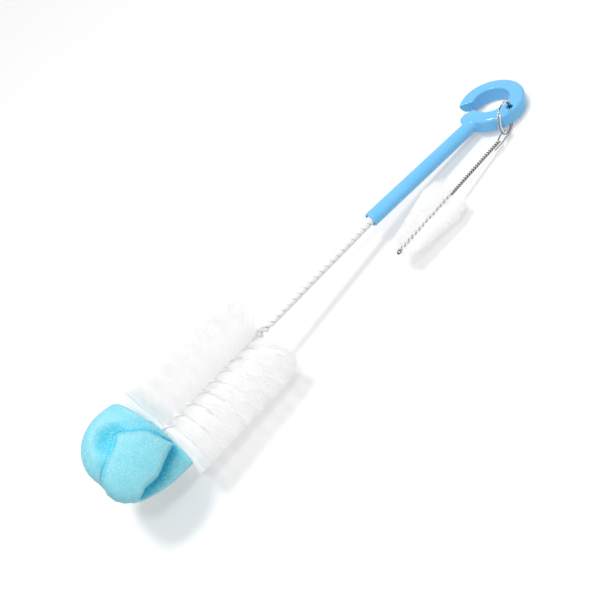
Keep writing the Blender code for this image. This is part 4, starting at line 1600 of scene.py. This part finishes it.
@dataclass
class SplitRing:
    """Nearly two turns of plated wire side by side, with the step from one to the next."""

    radius: float = 8.6 * MM
    wire: float = 0.8 * MM
    turn_pitch: float = 1.24 * MM
    reach: float = 7.6 * MM
    step_angle_deg: float = 85.0
    step_half_deg: float = 30.0
    table_gap: float = 0.3 * MM
    # Painted shade on the sides where the two turns face each other reaches this far from between them.
    crevice_shade_half: float = 0.8 * MM
    points_a_turn: int = 96
    sides: int = 14

    def middle(self, lie: Lie) -> np.ndarray:
        """The ring's middle in its own frame, lifted until its lowest turn clears the table.

        Args:
            lie: Where the bodies lie.

        Returns:
            The place of the middle.
        """
        place = lie.ring()
        reach = Vector((self.reach, 0.0, 0.0))
        short = self.radius + self.wire / 2 + self.table_gap - (place @ reach).z
        return np.array([self.reach, 0.0, short / place.to_3x3().col[2].z])

    def build(self, lie: Lie, finishes: Finishes, wires: GeometryTree) -> None:
        """Makes the ring in place.

        Args:
            lie: Where the bodies lie.
            finishes: The materials.
            wires: The tree that lays round wires.
        """
        step_deg = 2 * self.step_half_deg
        start = self.step_angle_deg + self.step_half_deg
        turned = 2 * TURN_DEG - step_deg
        angle = np.linspace(start, start + turned, round(self.points_a_turn * turned / TURN_DEG))
        step = np.clip((angle - start - TURN_DEG + step_deg) / step_deg, 0.0, 1.0)
        level = self.turn_pitch * (step * step * (3 - 2 * step) - 0.5)
        way = np.radians(angle)
        round_middle = np.stack([self.radius * np.cos(way), level, self.radius * np.sin(way)], axis=1)
        mesh = laid_wire(wires, "split_ring_wire", self.middle(lie) + round_middle, self.wire, self.sides,
                         lie.ring(), finishes.plated)
        level = vertices(mesh, lie.ring().inverted())[:, 1]
        # Painted shade on the sides where the two turns face each other.
        mark(mesh, "crevice_shade", np.clip(1.0 - np.abs(level) / self.crevice_shade_half, 0.0, 1.0))
        finished(mesh, Body.RING, "split_ring")


@dataclass
class SmallBrush:
    """The small brush: one steel wire with an eye, twisted round a tapered head of bristles."""

    wire: float = 0.8 * MM
    wire_gap: float = 0.56 * MM
    pitch: float = 3.5 * MM
    head_pitch: float = 6.1 * MM
    web: float = 0.24 * MM
    web_gap: float = 0.23 * MM
    eye_half_width: float = 1.65 * MM
    eye_tip: float = 3.0 * MM
    eye_leg: float = 2.2 * MM
    twist_start: float = 5.6 * MM
    tail_end: float = 12.5 * MM
    tail_side: float = 2.15 * MM
    head_start: float = 51.2 * MM
    head_length: float = 41.8 * MM
    widest: float = 8.5 * MM
    radii: tuple[float, float, float] = (10.6 * MM, 12.06 * MM, 6.2 * MM)
    wire_tip: float = 2.4 * MM
    wire_step: float = 0.2 * MM
    # Painted shade in the twist's crevices reaches this far from its line.
    crevice_shade_radius: float = 1.0 * MM
    fold_points: int = 10
    curl_points: int = 25
    sides: int = 10

    def twist(self) -> Twist:
        """The twist of the doubled wire.

        Returns:
            The twist.
        """
        return Twist(hand=-1, start=self.twist_start, head_start=self.head_start - self.wire,
                     shank_pitch=self.pitch, head_pitch=self.head_pitch,
                     shank_offset=(self.wire + self.wire_gap) / 2,
                     head_offset=self.wire / 2 + self.web / 2 + self.web_gap)

    def reach(self, share: np.ndarray) -> np.ndarray:
        """How far the bristles reach at a share of the head's length."""
        return np.interp(share, (0.0, self.widest / self.head_length, 1.0), self.radii)

    def line(self) -> np.ndarray:
        """The wire's whole line: up the shank, round its fold, back, and round the eye to its tail.

        Returns:
            One row for each point.
        """
        twist = self.twist()
        end = self.head_start + self.head_length + self.wire_tip
        inward, outward = twist.wire(end, 0.0, self.wire_step), twist.wire(end, math.pi, self.wire_step)
        turn = np.linspace(0.0, math.pi, self.fold_points)[1:-1, None]
        along, across = np.array([[1.0, 0.0, 0.0]]), twist.across(np.array([end]), 0.0)
        fold = end * along + twist.offset(np.array([end]))[0] * (np.sin(turn) * along + np.cos(turn) * across)
        bend = self.eye_half_width
        way = np.linspace(1.5 * math.pi, 0.5 * math.pi, self.curl_points)
        curl = np.stack([bend - self.eye_tip + bend * np.cos(way), bend * np.sin(way), way * 0], axis=1)
        leg = [(self.eye_leg, -bend, 0.0)]
        tail = [(self.eye_leg, bend, 0.0), (self.twist_start, self.tail_side, 0.0),
                (self.tail_end, self.tail_side, 0.0)]
        return np.concatenate([inward, fold, outward[::-1], leg, curl, tail])

    def build(self, lie: Lie, finishes: Finishes, wires: GeometryTree, bristles: GeometryTree) -> None:
        """Makes the small brush in place.

        Args:
            lie: Where the bodies lie.
            finishes: The materials.
            wires: The tree that lays round wires.
            bristles: The tree that grows bristles.
        """
        place = lie.small_brush()
        mesh = laid_wire(wires, "small_brush_wire", self.line(), self.wire, self.sides, place, finishes.drawn)
        local = vertices(mesh, place.inverted())
        # Painted shade in the crevices between the twisted wires, nearest the twist's line.
        from_line = np.hypot(local[:, 1], local[:, 2]) / self.crevice_shade_radius
        inner = np.clip(2.0 - 2.0 * from_line, 0.0, 1.0)
        mark(mesh, "crevice_shade", np.where(local[:, 0] > self.twist_start, inner, 0.0))
        finished(mesh, Body.SMALL_BRUSH, "small_wire")
        head = BristleHead(
            name="small_head_bristles", start=self.head_start, length=self.head_length, strands=7000,
            diameter=0.1 * MM, reach=self.reach, lean=(-1.2 * MM, 1.0 * MM), bend=0.5 * MM, fan=0.5,
            lean_spread=0.04, trim_spread=0.006, seed=5, tidy_end=4 * MM, parting_deg=57.0)
        mesh = head.build(bristles, self.twist(), place, finishes.nylon)
        finished(mesh, Body.SMALL_BRUSH, "small_bristles")


# The stage


@dataclass
class Studio:
    """A white table, soft light from above and from near the camera, and the camera of the photograph."""

    camera_place: tuple[float, float, float] = (0.13445, 0.40037, 0.38108)
    camera_turn_deg: tuple[float, float, float] = (42.6744, 27.6098, 137.5176)
    lens_mm: float = 65.33
    sensor_mm: float = 36.0
    clip: tuple[float, float] = (0.01, 50.0)
    table_width: float = 6.0
    table_colour: Colour = (0.68, 0.68, 0.68, 1.0)
    table_glow: float = 0.31
    table_roughness: float = 0.9
    fill: float = 0.50
    key_place: tuple[float, float, float] = (0.05, -0.06, 1.60)
    key_width: float = 0.36
    key_watts: float = 11.8
    near_place: tuple[float, float, float] = (0.17, 0.48, 0.86)
    near_width: float = 0.12
    near_watts: float = 2.0

    def camera(self) -> None:
        """Sets up the photograph's camera."""
        data = bpy.data.cameras.new("camera")
        data.lens, data.sensor_width = self.lens_mm, self.sensor_mm
        data.clip_start, data.clip_end = self.clip
        made = bpy.data.objects.new("camera", data)
        made.location = self.camera_place
        made.rotation_euler = [math.radians(turn) for turn in self.camera_turn_deg]
        bpy.context.scene.collection.objects.link(made)
        bpy.context.scene.camera = made

    def lamp(self, name: str, place: tuple[float, float, float], width: float, watts: float) -> None:
        """Adds a square soft light that points at the brush.

        Args:
            name: The light's name.
            place: Where it hangs.
            width: Its width.
            watts: Its power.
        """
        data = bpy.data.lights.new(name, "AREA")
        data.size, data.energy = width, watts
        made = bpy.data.objects.new(name, data)
        made.location = place
        made.rotation_euler = (-Vector(place)).to_track_quat("-Z", "Y").to_euler()
        bpy.context.scene.collection.objects.link(made)

    def world(self) -> None:
        """Even light all round, and a white background for what the camera and gloss see."""
        world = bpy.data.worlds.new("studio")
        world.use_nodes = True
        bpy.context.scene.world = world
        web = Web(world.node_tree)
        strength = web.math("MULTIPLY_ADD", seen_as_backdrop(web), 1.0 - self.fill, self.fill)
        background = world.node_tree.nodes["Background"]
        background.inputs["Color"].default_value = WHITE
        web.put(background.inputs["Strength"], strength)

    def table(self) -> None:
        """The white table, which shows white but keeps the brush's shadow."""
        half = self.table_width / 2
        rim = np.array([(-half, -half, 0), (half, -half, 0), (half, half, 0), (-half, half, 0)])
        floor = bpy.data.objects.new("table", plain_mesh("table", rim, [(0, 1, 2, 3)]))
        made = Surface("table_white")
        made.set(Base_Color=self.table_colour, Roughness=self.table_roughness, Emission_Color=WHITE,
                 Emission_Strength=made.math("MULTIPLY", seen_as_backdrop(made), self.table_glow))
        floor.data.materials.append(made.material)
        bpy.context.scene.collection.objects.link(floor)

    def build(self) -> None:
        """Builds the whole stage."""
        bpy.context.scene.view_settings.view_transform = "Standard"
        self.world()
        self.table()
        self.lamp("key", self.key_place, self.key_width, self.key_watts)
        self.lamp("near", self.near_place, self.near_width, self.near_watts)
        self.camera()


def main() -> None:
    """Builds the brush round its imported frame, piece by piece, and then its stage."""
    logging.basicConfig(level=logging.INFO, format="%(message)s")
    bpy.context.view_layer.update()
    lie, finishes = Lie(), Finishes()
    wires, bristles = wire_tree(), bristle_tree()
    stem = Stem()
    Handle().build(lie, finishes)
    stem.build(lie, finishes, bristles)
    FoamTip().build(lie, stem, finishes)
    SplitRing().build(lie, finishes, wires)
    SmallBrush().build(lie, finishes, wires, bristles)
    Studio().build()


if __name__ == "__main__":
    main()
